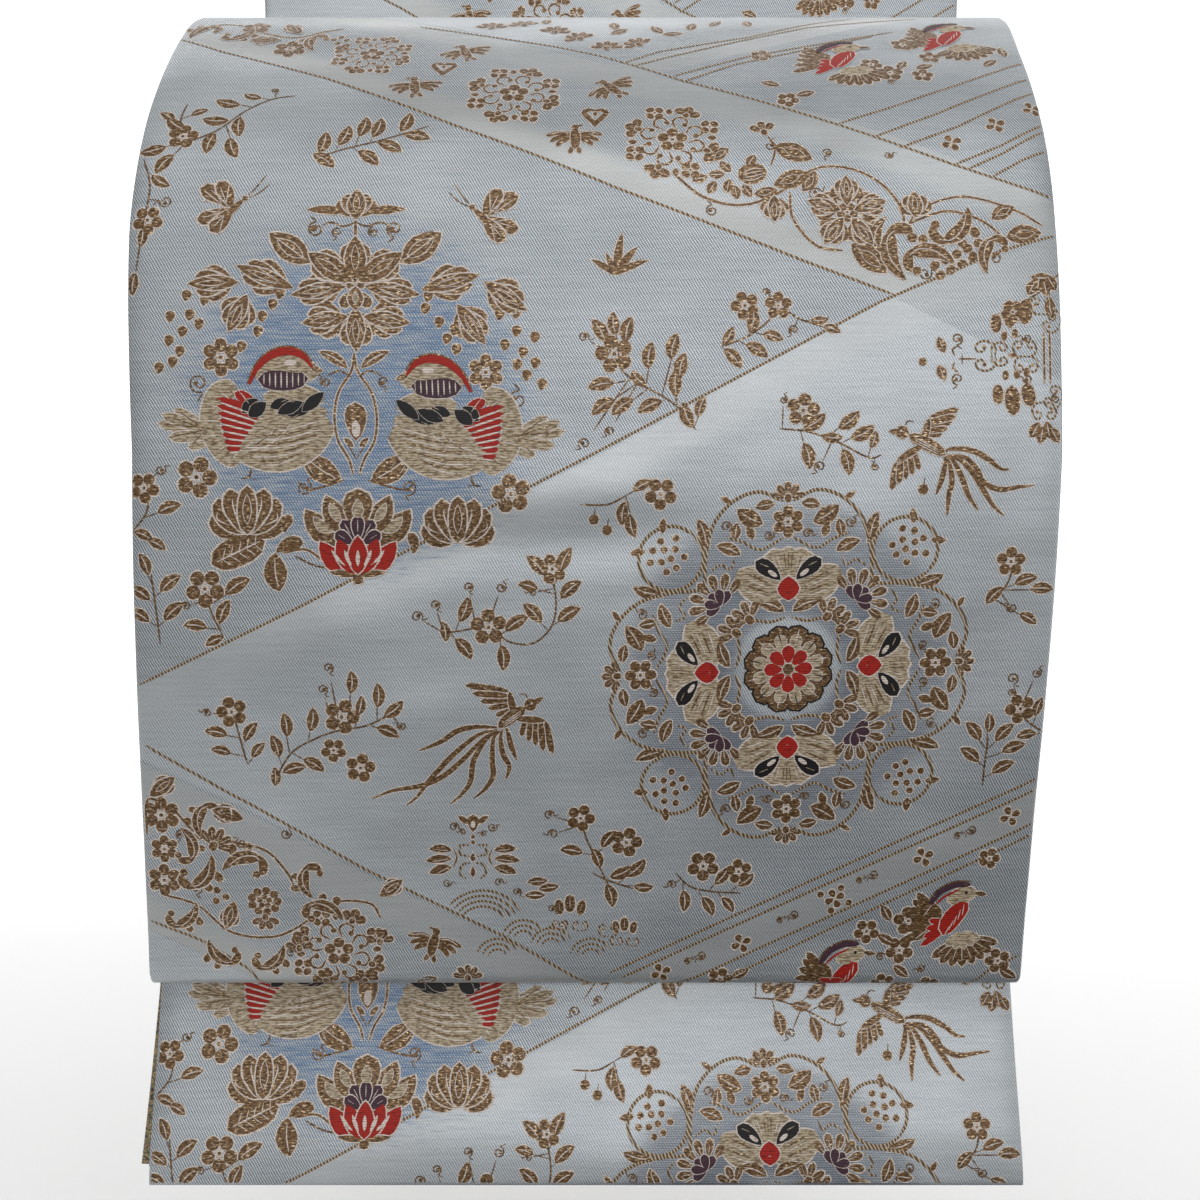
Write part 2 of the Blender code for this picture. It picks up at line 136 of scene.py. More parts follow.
def facing(tangent: np.ndarray) -> np.ndarray:
    """The side that the patterned face looks to, a quarter turn left of the tangent."""
    return np.array([-tangent[1], tangent[0]])


def totals(steps: np.ndarray) -> np.ndarray:
    """Running total of steps, from 0."""
    return np.concatenate([[0.0], np.cumsum(steps)])


def load(along: np.ndarray, angles: np.ndarray, widest: float, turn: float) -> np.ndarray:
    """Running count of the steps that a bent line needs.

    Args:
        along: distances along it.
        angles: its direction at each, in radians.
        widest: longest step, in millimetres.
        turn: sharpest turn of one step, in radians.
    Returns:
        Sum of sqrt((step / widest)^2 + (bend / turn)^2) up to each distance.
    """
    return totals(np.hypot(np.diff(along) / widest, np.abs(np.diff(angles)) / turn))


def curve_through(points: Sequence, start: np.ndarray, end: np.ndarray) -> np.ndarray:
    """Cubic Hermite line through points: p(t) = h00 a + h10 d ta + h01 b + h11 d tb on each chord d.

    Args:
        points: places (back, up) on the line.
        start: unit vector that the line leaves along.
        end: unit vector that it arrives along.
    Returns:
        An (n, 2) array of places a quarter of a millimetre apart.
    """
    points = np.asarray(points, float)
    chords = np.linalg.norm(np.diff(points, axis=0), axis=1)
    slopes = np.diff(points, axis=0) / chords[:, None]
    inner = slopes[:-1] * chords[1:, None] + slopes[1:] * chords[:-1, None]
    inner /= np.linalg.norm(inner, axis=1)[:, None]
    tangents = np.vstack([start, inner, end])
    pieces = []
    for i, chord in enumerate(chords):
        t = np.linspace(0.0, 1.0, max(2, int(chord / STEP)), endpoint=False)[:, None]
        pieces.append(
            (2 * t**3 - 3 * t**2 + 1) * points[i]
            + (t**3 - 2 * t**2 + t) * chord * tangents[i]
            + (-2 * t**3 + 3 * t**2) * points[i + 1]
            + (t**3 - t**2) * chord * tangents[i + 1]
        )
    return np.vstack([*pieces, points[-1:]])


def arc(centre: Sequence[float], radius: float, first: float, last: float) -> np.ndarray:
    """Places c + r (cos a, sin a) from one angle to another, in degrees, either way round."""
    count = max(8, int(radius * math.radians(abs(last - first)) / STEP))
    angles = np.radians(np.linspace(first, last, count))
    return np.asarray(centre, float) + radius * np.stack([np.cos(angles), np.sin(angles)], axis=1)


def straight(first: Sequence[float], last: Sequence[float]) -> np.ndarray:
    """Evenly spaced places between two places."""
    t = np.linspace(0.0, 1.0, max(2, int(math.dist(first, last) / STEP)))[:, None]
    return (1 - t) * np.asarray(first, float) + t * np.asarray(last, float)


@dataclass
class SideLine:
    """The patterned face seen from the side, from the tail's hem to the foot of the back."""

    strip: Strip = field(default_factory=Strip)

    def __post_init__(self) -> None:
        """Joins the stretches with arcs and notes where each begins."""
        s = self.strip
        tail_top = np.array(s.tail[-1])
        lean = (tail_top - np.array(s.tail[-2])) / math.dist(s.tail[-1], s.tail[-2])
        lean_angle = math.degrees(math.atan2(lean[1], lean[0]))
        descent, ascent, fall = direction(s.descent), direction(s.ascent), direction(s.fall)
        pieces = [curve_through(s.tail, direction(90.0), lean)]
        marks = {"hem": 0, "inner": len(pieces[0])}
        turn = tail_top + s.inner_fold * facing(lean)
        pieces.append(arc(turn, s.inner_fold, lean_angle - 90.0, lean_angle + 90.0)[1:])
        inner = [tail_top + 2 * s.inner_fold * facing(lean), *s.inner]
        fold_start = np.array(s.bottom_centre) + s.bottom_fold * facing(descent)
        pieces.append(curve_through([*inner, fold_start], -lean, descent)[1:])
        marks["drum"] = sum(map(len, pieces))
        pieces.append(arc(s.bottom_centre, s.bottom_fold, s.descent + 90.0, s.ascent - 270.0)[1:])
        fold_end = np.array(s.bottom_centre) + s.bottom_fold * facing(ascent)
        pieces.append(curve_through([fold_end, *s.face], ascent, fall)[1:])
        marks["crease"] = sum(map(len, pieces))
        last = np.array(s.face[-1])
        corner = last + fall * (s.upper_depth - last[0]) / fall[0]
        reach = s.crease * math.tan(math.radians((90.0 - s.fall) / 2))
        pieces.append(straight(last, corner - reach * fall)[1:])
        centre = np.array([s.upper_depth - s.crease, corner[1] + reach])
        pieces.append(arc(centre, s.crease, s.fall - 90.0, 0.0)[1:])
        pieces.append(straight([s.upper_depth, centre[1]], [s.upper_depth, 0.0])[1:])
        marks["rail"] = sum(map(len, pieces))
        pieces.append(arc([s.upper_depth + s.rail_fold, 0.0], s.rail_fold, 180.0, 0.0)[1:])
        back = s.upper_depth + 2 * s.rail_fold
        marks["back"] = sum(map(len, pieces))
        pieces.append(straight([back, 0.0], [back, s.back_foot])[1:])
        pieces.append(arc([back - s.back_fold, s.back_foot], s.back_fold, 0.0, -180.0)[1:])
        under = back - 2 * s.back_fold
        pieces.append(straight([under, s.back_foot], [under, s.back_foot + 1.2])[1:])
        self.points = np.vstack(pieces)
        self.along = totals(np.linalg.norm(np.diff(self.points, axis=0), axis=1))
        tangents = np.gradient(self.points, self.along, axis=0)
        self.angles = np.unwrap(np.arctan2(tangents[:, 1], tangents[:, 0]))
        self.marks = {name: float(self.along[index]) for name, index in marks.items()}
        self.marks["end"] = float(self.along[-1])

    def at(self, along: np.ndarray) -> tuple[np.ndarray, ...]:
        """Depth, height and the facing's two parts at distances along the strip."""
        angle = np.interp(along, self.along, self.angles)
        depth = np.interp(along, self.along, self.points[:, 0])
        height = np.interp(along, self.along, self.points[:, 1])
        return depth, height, -np.sin(angle), np.cos(angle)

    def sideways(self, along: np.ndarray) -> np.ndarray:
        """How far the middle line lies to one side."""
        where = [self.marks[mark] + past for mark, past, _ in self.strip.drift]
        return np.interp(along, where, [row[2] for row in self.strip.drift])

    def rings(self, first: float, last: float, widest: float, turn: float = 5.0) -> np.ndarray:
        """Distances along for a cloth's rings, close where the side line turns.

        Args:
            first: where the cloth starts.
            last: where it ends.
            widest: longest step, in millimetres.
            turn: sharpest turn between two rings, in degrees.
        Returns:
            Growing distances from first to last.
        """
        dense = np.arange(first, last, STEP)
        steps = load(dense, np.interp(dense, self.along, self.angles), widest, math.radians(turn))
        count = max(2, int(math.ceil(steps[-1])) + 1)
        places = np.interp(np.linspace(0.0, steps[-1], count), steps, dense)
        places[-1] = last
        return places

    def swell(self, across: np.ndarray, along: np.ndarray) -> np.ndarray:
        """Crown, edge roll and soft folds along the facing.

        off = crown (1 - x^2) - roll e^2 + sum of rise exp(-(r / reach)^2 - (w / breadth)^2), where x is
        the share of the half width, e the share of the edge's roll, and r, w run along and across a fold.
        """
        s = self.strip
        half = s.width / 2
        share = np.clip(np.abs(across) / half, 0.0, 1.2)
        edge = np.clip((np.abs(across) - (half - s.roll_breadth)) / s.roll_breadth, 0.0, 1.5)
        past = along - self.marks["drum"]
        on_face = ramp(past, 12.0, 60.0) * ramp(past, 390.0, -60.0)
        on_tail = ramp(along, 3.0, 15.0) * ramp(along, 95.0, -30.0)
        off = s.crown * on_face * (1.0 - share**2) - s.roll * (on_face + on_tail) * edge**2
        fade = ramp(past, 14.0, 20.0)
        for start, middle, reach, breadth, lean, rise in s.folds:
            cos, sin = math.cos(math.radians(lean)), math.sin(math.radians(lean))
            right = (across - middle) * cos + (past - start) * sin
            up = (past - start) * cos - (across - middle) * sin
            off = off + fade * rise * np.exp(-((right / reach) ** 2) - (up / breadth) ** 2)
        return off

    def place(self, across: np.ndarray, along: np.ndarray, off: np.ndarray) -> np.ndarray:
        """Carries cloth places into the room, in metres.

        Args:
            across: millimetres from the middle line.
            along: millimetres from the hem.
            off: height above the patterned face.
        Returns:
            An (n, 3) array: x = across + drift, and (depth, height) + facing (off + swell).
        """
        depth, height, out_back, out_up = self.at(along)
        rise = off + self.swell(across, along)
        return 0.001 * np.stack([
            across + self.sideways(along),
            depth + out_back * rise - self.strip.drum_to_rail,
            height + out_up * rise,
        ], axis=-1)


LINE = SideLine()


class Stretch(Enum):
    """The stretches of the strip: name, then the mark and the distance past it of each end."""

    TAIL = ("tail", "hem", 0.0, "inner", -8.0)
    INNER = ("inner", "inner", -8.0, "drum", -30.0)
    DRUM = ("drum", "drum", -30.0, "crease", 2.0)
    UPPER = ("upper", "crease", 2.0, "rail", 0.0)
    BACK = ("back", "rail", 0.0, "end", 0.0)

    @property
    def label(self) -> str:
        """The stretch's name in its nodes."""
        return self.value[0]

    @property
    def span(self) -> Pair:
        """Where the stretch's cloth starts and ends along the strip, with the seams' gap left free."""
        _, first, past, last, before = self.value
        start = LINE.marks[first] + past + (0.0 if first == "hem" else SEAM)
        stop = LINE.marks[last] + before - (0.0 if last == "end" else SEAM)
        return start, stop

    @property
    def origin(self) -> float:
        """Where a pattern place of zero lies along the strip."""
        drum = LINE.marks["drum"]
        return drum + LINE.strip.upper_origin if self in (Stretch.UPPER, Stretch.BACK) else drum


# ---------------------------------------------------------------- meshes
@dataclass
class Shape:
    """A mesh in the making: places in metres, faces, the material of each face, and a cloth map.

    The cloth map is the first UV map: u is the place across the strip and v the place in the pattern,
    both in metres, so that a weave or a ground follows the cloth round every fold.
    """

    points: np.ndarray
    faces: np.ndarray
    cloth: np.ndarray
    finishes: np.ndarray | None = None

    def add(self, name: str, materials: Sequence[bpy.types.Material],
            smooth: bool = True) -> bpy.types.Object:
        """Makes the object, riding on the sash's one body.

        Args:
            name: the piece's name.
            materials: its finishes, numbered by the faces' finishes.
            smooth: whether its faces shade as one surface.
        Returns:
            The new object.
        """
        mesh = bpy.data.meshes.new(name)
        sides = (self.faces >= 0).sum(axis=1)
        corners = self.faces[self.faces >= 0]
        mesh.vertices.add(len(self.points))
        mesh.vertices.foreach_set("co", np.ascontiguousarray(self.points, np.float32).ravel())
        mesh.loops.add(len(corners))
        mesh.loops.foreach_set("vertex_index", corners.astype(np.int32))
        mesh.polygons.add(len(sides))
        starts = np.concatenate([[0], np.cumsum(sides)[:-1]]).astype(np.int32)
        mesh.polygons.foreach_set("loop_start", starts)
        if self.finishes is not None:
            mesh.polygons.foreach_set("material_index", self.finishes.astype(np.int32))
        mesh.polygons.foreach_set("use_smooth", np.full(len(sides), smooth))
        layer = mesh.uv_layers.new(name="cloth")
        layer.data.foreach_set("uv", np.ascontiguousarray(self.cloth[corners] * 0.001, np.float32).ravel())
        for finish in materials:
            mesh.materials.append(finish)
        mesh.update(calc_edges=True)
        mesh.validate()
        piece = bpy.data.objects.new(name, mesh)
        bpy.context.scene.collection.objects.link(piece)
        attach(piece, "root")
        LOG.info("%s: %d faces", name, len(sides))
        return piece


def tube_faces(rings: int, count: int) -> np.ndarray:
    """Quads of a tube of closed rings, with both ends closed across, facing outwards.

    Quad (r, k) joins places k and k + 1 of ring r to those of the ring after. A closed end joins place
    i of the section to the place as far from its other end. A missing fourth corner is -1.
    """
    r, k = np.meshgrid(np.arange(rings - 1), np.arange(count), indexing="ij")
    lower, upper, after = r * count, (r + 1) * count, (k + 1) % count
    quads = np.stack([lower + k, lower + after, upper + after, upper + k], axis=-1)
    i = np.arange(count // 2 - 1)
    last = np.stack([i, i + 1, count - 2 - i, count - 1 - i], axis=-1)
    if count % 2:
        half = count // 2
        last = np.vstack([last, [[half - 1, half, half + 1, -1]]])
    first = np.where(last[:, 3:] < 0, last[:, [2, 1, 0, 3]], last[:, ::-1])
    return np.vstack([quads.reshape(-1, 4), first, np.where(last < 0, -1, last + (rings - 1) * count)])


@dataclass(frozen=True)
class Section:
    """The cloth's section: a closed line of (across, off) places, in millimetres."""

    across: np.ndarray
    off: np.ndarray


TURN_IN = 1.6  # how far the front cloth's right edge is turned back over the lining, in millimetres
HALF_ROUND = np.radians([60.0, 30.0, 0.0, -30.0, -60.0])  # corners of an edge's half round
TURNED_ROUND = np.radians([75.0, 50.0, 25.0, 0.0, -25.0, -50.0, -75.0])  # and of the turned edge's


def spread(left: float, right: float, step: float) -> np.ndarray:
    """Evenly spaced places across, ends included, as many at every ring."""
    return np.linspace(left, right, int(math.ceil(LINE.strip.width / step)) + 1)


def plain_section(left: float, right: float, high: float, low: float, step: float) -> Section:
    """A flat wall with rounded edges: each edge is half an ellipse from its face to its back."""
    half, middle = (high - low) / 2, (high + low) / 2
    out, up = half * np.cos(HALF_ROUND), half * np.sin(HALF_ROUND)
    face = spread(left + half, right - half, step)
    across = np.concatenate([face, right - half + out, face[::-1], left + half - out])
    off = np.concatenate([np.full(len(face), high), middle + up, np.full(len(face), low), middle - up])
    return Section(across, off)


def turned_section(left: float, right: float, high: float, low: float, lip: float, step: float) -> Section:
    """The front cloth: its right edge turned back over the lining, its left one rounded.

    Args:
        left: its left edge.
        right: its right edge.
        high: the patterned face.
        low: the back of the cloth.
        lip: the back of the turned edge.
        step: spacing across.
    Returns:
        The closed section.
    """
    turned, rounded = (high - lip) / 2, (high - low) / 2
    face = spread(left + rounded, right - turned, step)
    back = spread(left + rounded, right - TURN_IN - 0.2, step)[::-1]
    across = np.concatenate([
        face, right - turned + turned * np.cos(TURNED_ROUND), [right - turned, right - TURN_IN], back,
        left + rounded - rounded * np.cos(HALF_ROUND)])
    off = np.concatenate([
        np.full(len(face), high), (high + lip) / 2 + turned * np.sin(TURNED_ROUND), [lip, lip],
        np.full(len(back), low), (high + low) / 2 - rounded * np.sin(HALF_ROUND)])
    return Section(across, off)


@dataclass
class Cloth:
    """One wall of the strip along one stretch, laid with rings of one section."""

    stretch: Stretch

    def carry(self, rings: np.ndarray, sections: Sequence[Section] | Section) -> Shape:
        """Sweeps sections along the side line.

        Args:
            rings: places along the strip, growing.
            sections: one section for all the rings, or one for each, all with the same count.
        Returns:
            The closed wall, with its cloth map.
        """
        if isinstance(sections, Section):
            across = np.tile(sections.across, (len(rings), 1))
            off = np.tile(sections.off, (len(rings), 1))
        else:
            across = np.stack([one.across for one in sections])
            off = np.stack([one.off for one in sections])
        count = across.shape[1]
        along = np.repeat(rings, count)
        points = LINE.place(across.ravel(), along, off.ravel())
        cloth = np.stack([across.ravel(), along - self.stretch.origin], axis=1)
        return Shape(points, tube_faces(len(rings), count), cloth)


# ---------------------------------------------------------------- motifs of gold and coloured thread
class Ink(Enum):
    """The threads that the motifs are woven in."""

    GOLD = 0
    PALE = 1
    RED = 2
    PURPLE = 3
    BLACK = 4
    CREAM = 5
    CORD = 6


class Leaf(Enum):
    """Outlines of a filled figure: its half width at five stations from its foot to its tip."""

    LEAF = (0.50, 0.86, 1.00, 0.80, 0.44)
    PETAL = (0.40, 0.72, 0.95, 1.00, 0.76)
    OVAL = (0.68, 0.93, 1.00, 0.93, 0.68)
    FEATHER = (0.72, 0.95, 1.00, 0.98, 0.82)


GOLD, PALE, RED, PURPLE, BLACK, CREAM, CORD = Ink
LEAF, PETAL, OVAL, FEATHER = Leaf

STATIONS = np.array([0.12, 0.30, 0.50, 0.70, 0.88])
RIM = np.array([0.028, 0.062, 0.130, 0.198, 0.266, 0.334, 0.402])  # height of a figure's edge, by its level
RIDGE = np.array([0.050, 0.092, 0.160, 0.228, 0.296, 0.364, 0.432])  # height of its middle
EDGE_DROP = (0.030, 0.022)  # how far a pale outline's edge and middle lie under the rim of its figure


@dataclass(frozen=True)
class Strand:
    """A line of thread on the cloth's plan: its places, half width at each, thread and heights."""

    places: np.ndarray
    halves: np.ndarray
    ink: int
    rim: float
    ridge: float

    def part(self, run: np.ndarray) -> Strand:
        """The strand over a run of its places."""
        return Strand(self.places[run], self.halves[run], self.ink, self.rim, self.ridge)


@dataclass
class Threads:
    """Figures and lines laid on the cloth's plan, as arrays."""

    feet: np.ndarray
    tips: np.ndarray
    halves: np.ndarray
    bends: np.ndarray
    outlines: np.ndarray
    inks: np.ndarray
    rims: np.ndarray
    ridges: np.ndarray
    lines: list[Strand]


class Pen:
    """Draws figures and lines on the pattern's plan, inside turned, scaled and flipped frames.

    A place z = x + iy of a frame lies at origin + scale z, or origin - scale conj(z) where the frame is
    flipped left to right.
    """

    def __init__(self) -> None:
        """Starts an empty plan."""
        self.figures: list[tuple[complex, complex, float, float, Leaf, int, float, float]] = []
        self.lines: list[Strand] = []
        self.origin, self.scale, self.flipped = 0j, 1 + 0j, False

    def spot(self, place: complex | np.ndarray) -> complex | np.ndarray:
        """Carries a place of the frame onto the plan."""
        return self.origin + self.scale * (-np.conj(place) if self.flipped else place)

    @contextmanager
    def at(self, x: float, y: float, turn: float = 0.0, size: float = 1.0,
           flip: bool = False) -> Iterator[None]:
        """A frame inside this one.

        Args:
            x: its origin, to the right.
            y: its origin, up.
            turn: degrees anticlockwise.
            size: scale.
            flip: whether it is mirrored left to right.
        """
        kept = self.origin, self.scale, self.flipped
        factor = size * complex(math.cos(math.radians(turn)), math.sin(math.radians(turn)))
        self.origin = complex(self.spot(complex(x, y)))
        self.scale *= factor.conjugate() if self.flipped else factor
        self.flipped ^= flip
        yield
        self.origin, self.scale, self.flipped = kept

    def around(self, count: int, first: float = 0.0, step: float = 0.0) -> Iterator[int]:
        """Frames turned about the origin, one after another.

        Args:
            count: how many.
            first: degrees that the first is turned by.
            step: degrees from each to the next, or 0 to share out the whole round.
        Yields:
            The number of each.
        """
        for i in range(count):
            with self.at(0.0, 0.0, first + i * (step or 360.0 / count)):
                yield i

    def figure(self, x0: float, y0: float, x1: float, y1: float, half: float, ink: Ink = GOLD,
               leaf: Leaf = LEAF, bend: float = 0.0, level: int = 1, edge: float = 0.42) -> None:
        """A filled figure from its foot to its tip.

        Args:
            x0: foot, to the right.
            y0: foot, up.
            x1: tip, to the right.
            y1: tip, up.
            half: its greatest half width.
            ink: its thread.
            leaf: its outline.
            bend: how far its middle bows to the left, as the tip is seen from the foot.
            level: height at which it lies.
            edge: width of the pale outline round it, or 0.
        """
        foot, tip = self.spot(complex(x0, y0)), self.spot(complex(x1, y1))
        size = abs(self.scale)
        bow = bend * size * (-1.0 if self.flipped else 1.0)
        rim, ridge = float(RIM[level]), float(RIDGE[level])
        self.figures.append((foot, tip, half * size, bow, leaf, ink.value, rim, ridge))
        if edge > 0.0:
            way = (tip - foot) / max(abs(tip - foot), 1e-6)
            self.figures.append((foot - edge * way, tip + edge * 1.2 * way, half * size + edge, bow, leaf,
                                 PALE.value, rim - EDGE_DROP[0], rim - EDGE_DROP[1]))

    def line(self, points: Sequence[Pair], half: float = 0.30, ink: Ink = GOLD, level: int = 1,
             smooth: bool = True, edge: float = 0.0, ribbon: bool = False) -> None:
        """A cord of thread through places, as a Catmull-Rom curve or straight from place to place.

        Args:
            points: the places.
            half: half width; a ribbon has it at its widest.
            ink: its thread.
            level: height at which it lies.
            smooth: whether it is curved.
            edge: width of the pale outline, or 0.
            ribbon: whether it swells from a thin foot and narrows to a thin tip.
        """
        plan = self.spot(np.array([complex(x, y) for x, y in points]))
        curved = smooth and len(points) > 2
        plan = through(plan, 1.2 if curved else 1.9, not curved)
        width = half * max(0.7, min(1.0, abs(self.scale)))
        share = np.linspace(0.0, 1.0, len(plan))
        if ribbon:
            halves = width * np.sin(np.pi * (0.07 + 0.88 * share)) ** 0.8
        else:
            from_end = np.minimum(share, 1.0 - share) * (len(plan) - 1)
            halves = width * np.interp(from_end, [0.0, 1.0, 2.0], [0.35, 0.8, 1.0])
        rim, ridge = float(RIM[level]), float(RIDGE[level])
        self.lines.append(Strand(plan, halves, ink.value, rim, ridge))
        if edge > 0.0:
            self.lines.append(Strand(plan, halves + edge, PALE.value, rim - EDGE_DROP[0], rim - EDGE_DROP[1]))

    def gathered(self) -> Threads:
        """The plan so far, as arrays."""
        feet, tips, halves, bends, leaves, *rest = zip(*self.figures)
        feet, tips = (np.array([[end.real, end.imag] for end in ends]) for ends in (feet, tips))
        outlines = [leaf.value for leaf in leaves]
        return Threads(feet, tips, *map(np.array, (halves, bends, outlines, *rest)), self.lines)


def through(places: np.ndarray, step: float, straight_only: bool = False) -> np.ndarray:
    """Evenly spaced places on a line through complex places.

    A bent line is a Catmull-Rom curve: on each span p(t) is the cubic Hermite line whose end slopes are
    half the chord over the two neighbours.

    Args:
        places: complex places on the plan.
        step: spacing, in millimetres.
        straight_only: whether the line runs straight from place to place.
    Returns:
        Complex places.
    """
    if straight_only or len(places) < 3:
        dense = places
    else:
        padded = np.concatenate([[2 * places[0] - places[1]], places, [2 * places[-1] - places[-2]]])
        t = np.linspace(0.0, 1.0, 8, endpoint=False)[:, None]
        a, b, c, d = padded[:-3], padded[1:-2], padded[2:-1], padded[3:]
        square, cube = (2 * a - 5 * b + 4 * c - d) * t**2, (3 * b - a - 3 * c + d) * t**3
        curve = 0.5 * (2 * b + (c - a) * t + square + cube)
        dense = np.concatenate([curve.T.ravel(), places[-1:]])
    gone = totals(np.abs(np.diff(dense)))
    count = max(2, int(round(gone[-1] / step)) + 1)
    want = np.linspace(0.0, gone[-1], count)
    return np.interp(want, gone, dense.real) + 1j * np.interp(want, gone, dense.imag)


# a figure's faces: three at the foot, three between each two stations, three at the tip; -1 is no corner
FIGURE_FACES = np.array(
    [[0, 3, 2, -1], [0, 2, 1, -1], [0, 1, 3, -1]]
    + [face for i in range(1, 13, 3) for face in (
        [i + 2, i + 5, i + 4, i + 1], [i + 1, i + 4, i + 3, i], [i, i + 3, i + 5, i + 2])]
    + [[14, 15, 16, -1], [13, 14, 16, -1], [15, 13, 16, -1]])


@dataclass
class Weaver:
    """Turns a plan of threads into raised meshes on one stretch of the strip, in millimetres."""

    stretch: Stretch
    left: float = -153.9  # across, the leftmost place of a thread
    edge_turn: float = 153.75  # across, where the cloth's right edge starts to turn under
    edge_radius: float = 1.25
    edge_reach: float = 1.5  # how far round that edge a thread may go, in radians
    hem: float = 1.4  # along, the lowest place of a thread
    margin: float = 1.5  # how far a line may pass the ends of its stretch before it is cut
    own_lift: float = 0.00035  # lift of one thread over the last, so that two never lie in one plane
    lifts: int = 24  # how many threads pass before the lifts start again

    def on_cloth(self, plan: np.ndarray, height: np.ndarray, shift: float) -> tuple[np.ndarray, np.ndarray]:
        """Carries plan places onto the cloth, round its turned right edge.

        Beyond the edge's start, a = (u - start) / radius is the turn, and the place lies at
        start + (radius + h) sin a across and (radius + h) cos a - radius off the face.

        Args:
            plan: (n, 2) places across and in the pattern.
            height: heights above the face.
            shift: what is added to a pattern place to get the place along the strip.
        Returns:
            Places in metres, and the cloth map.
        """
        first, last = self.stretch.span
        radius = self.edge_radius
        across = np.clip(plan[:, 0], self.left, self.edge_turn + self.edge_reach * radius)
        along = np.clip(plan[:, 1] + shift, max(first, self.hem), last)
        turn = np.maximum(across - self.edge_turn, 0.0) / radius
        bent = np.minimum(across, self.edge_turn) + (radius + height) * np.sin(turn)
        off = np.where(turn > 0, (radius + height) * np.cos(turn) - radius, height)
        return LINE.place(bent, along, off), np.stack([across, along - self.stretch.origin], axis=1)

    def figures(self, threads: Threads, chosen: np.ndarray, shift: float) -> Shape:
        """Raised figures: a foot, five stations of left, middle and right, and a tip.

        The middle line is (1 - t) foot + t tip + 4 t (1 - t) bend times the left normal, and the sides
        stand off it by the outline's half widths.

        Args:
            threads: the plan.
            chosen: numbers of the figures wanted.
            shift: what is added to a pattern place to get the place along the strip.
        Returns:
            Their closed shapes, as one.
        """
        foot, tip = threads.feet[chosen][:, None], threads.tips[chosen][:, None]
        chord = tip - foot
        length = np.maximum(np.linalg.norm(chord, axis=2, keepdims=True), 1e-6)
        left = np.stack([-chord[..., 1], chord[..., 0]], axis=-1) / length
        bend = threads.bends[chosen][:, None, None]
        t = STATIONS[None, :, None]
        middle = (1 - t) * foot + t * tip + 4 * t * (1 - t) * bend * left
        run = chord + 4 * (1 - 2 * t) * bend * left
        side = np.stack([-run[..., 1], run[..., 0]], axis=-1) / np.linalg.norm(run, axis=2, keepdims=True)
        width = (threads.outlines[chosen] * threads.halves[chosen][:, None])[..., None]
        rows = np.stack([middle + side * width, middle, middle - side * width], axis=2)
        plan = np.concatenate([foot, rows.reshape(len(foot), -1, 2), tip], axis=1)
        rim, ridge = threads.rims[chosen][:, None], threads.ridges[chosen][:, None]
        ridge = np.minimum(ridge, rim + 0.2 * threads.halves[chosen][:, None])
        corners = plan.shape[1]
        height = np.tile(rim, (1, corners))
        height[:, 2:-1:3] = ridge
        height = height + self.own_lift * (chosen % self.lifts)[:, None]
        starts = (np.arange(len(foot)) * corners)[:, None, None]
        faces = np.where(FIGURE_FACES < 0, -1, FIGURE_FACES + starts).reshape(-1, 4)
        points, cloth = self.on_cloth(plan.reshape(-1, 2), height.ravel(), shift)
        return Shape(points, faces, cloth, np.repeat(threads.inks[chosen], len(FIGURE_FACES)))

    def cord(self, line: Strand, shift: float, lift: float) -> Shape:
        """A raised cord along a line: left, middle and right at each place.

        Args:
            line: the strand.
            shift: what is added to a pattern place to get the place along the strip.
            lift: its own lift, so that it never lies in one plane with another.
        Returns:
            A closed shape.
        """
        places, halves = line.places, line.halves
        run = np.gradient(places)
        side = 1j * run / np.maximum(np.abs(run), 1e-9)
        rows = np.stack([places + side * halves, places, places - side * halves], axis=1).ravel()
        height = np.full((len(places), 3), line.rim + lift)
        height[:, 1] += np.minimum(line.ridge - line.rim, 0.3 * halves)
        i = 3 * np.arange(len(places) - 1)[:, None]
        body = np.concatenate([i + [2, 5, 4, 1], i + [1, 4, 3, 0], i + [0, 3, 5, 2]])
        end = 3 * (len(places) - 1)
        faces = np.vstack([body, [[0, 2, 1, -1], [end, end + 1, end + 2, -1]]])
        points, cloth = self.on_cloth(np.stack([rows.real, rows.imag], axis=1), height.ravel(), shift)
        return Shape(points, faces, cloth, np.full(len(faces), line.ink))

    def laid(self, threads: Threads, shifts: Sequence[tuple[float, float, float]], last: float) -> Shape:
        """All threads that lie on this stretch.

        Args:
            threads: the plan.
            shifts: for each copy of the plan, its shift and the lowest and highest pattern place in it.
            last: the highest place along the strip that is woven.
        Returns:
            One shape of many raised threads.
        """
        first, stop = self.stretch.span
        stop = min(stop, last)
        shapes = []
        middles = (threads.feet[:, 1] + threads.tips[:, 1]) / 2
        for shift, low, high in shifts:
            along = middles + shift
            chosen = np.flatnonzero((middles >= low) & (middles < high) & (along > first) & (along < stop))
            if len(chosen):
                shapes.append(self.figures(threads, chosen, shift))
            bottom = max(low, first - shift) - self.margin
            top = min(high, stop - shift) + self.margin
            for number, line in enumerate(threads.lines):
                inside = (line.places.imag > bottom) & (line.places.imag < top)
                runs = np.split(np.arange(len(inside)), np.flatnonzero(np.diff(inside)) + 1)
                for run in runs:
                    if len(run) > 1 and inside[run[0]]:
                        shapes.append(self.cord(line.part(run), shift, self.own_lift * (number % self.lifts)))
        return joined(shapes)


def joined(shapes: Sequence[Shape]) -> Shape:
    """Several shapes as one."""
    offsets = np.cumsum([0] + [len(shape.points) for shape in shapes[:-1]])
    faces = np.vstack([np.where(s.faces < 0, -1, s.faces + o) for s, o in zip(shapes, offsets)])
    return Shape(np.vstack([s.points for s in shapes]), faces, np.vstack([s.cloth for s in shapes]),
                 np.concatenate([s.finishes for s in shapes]))


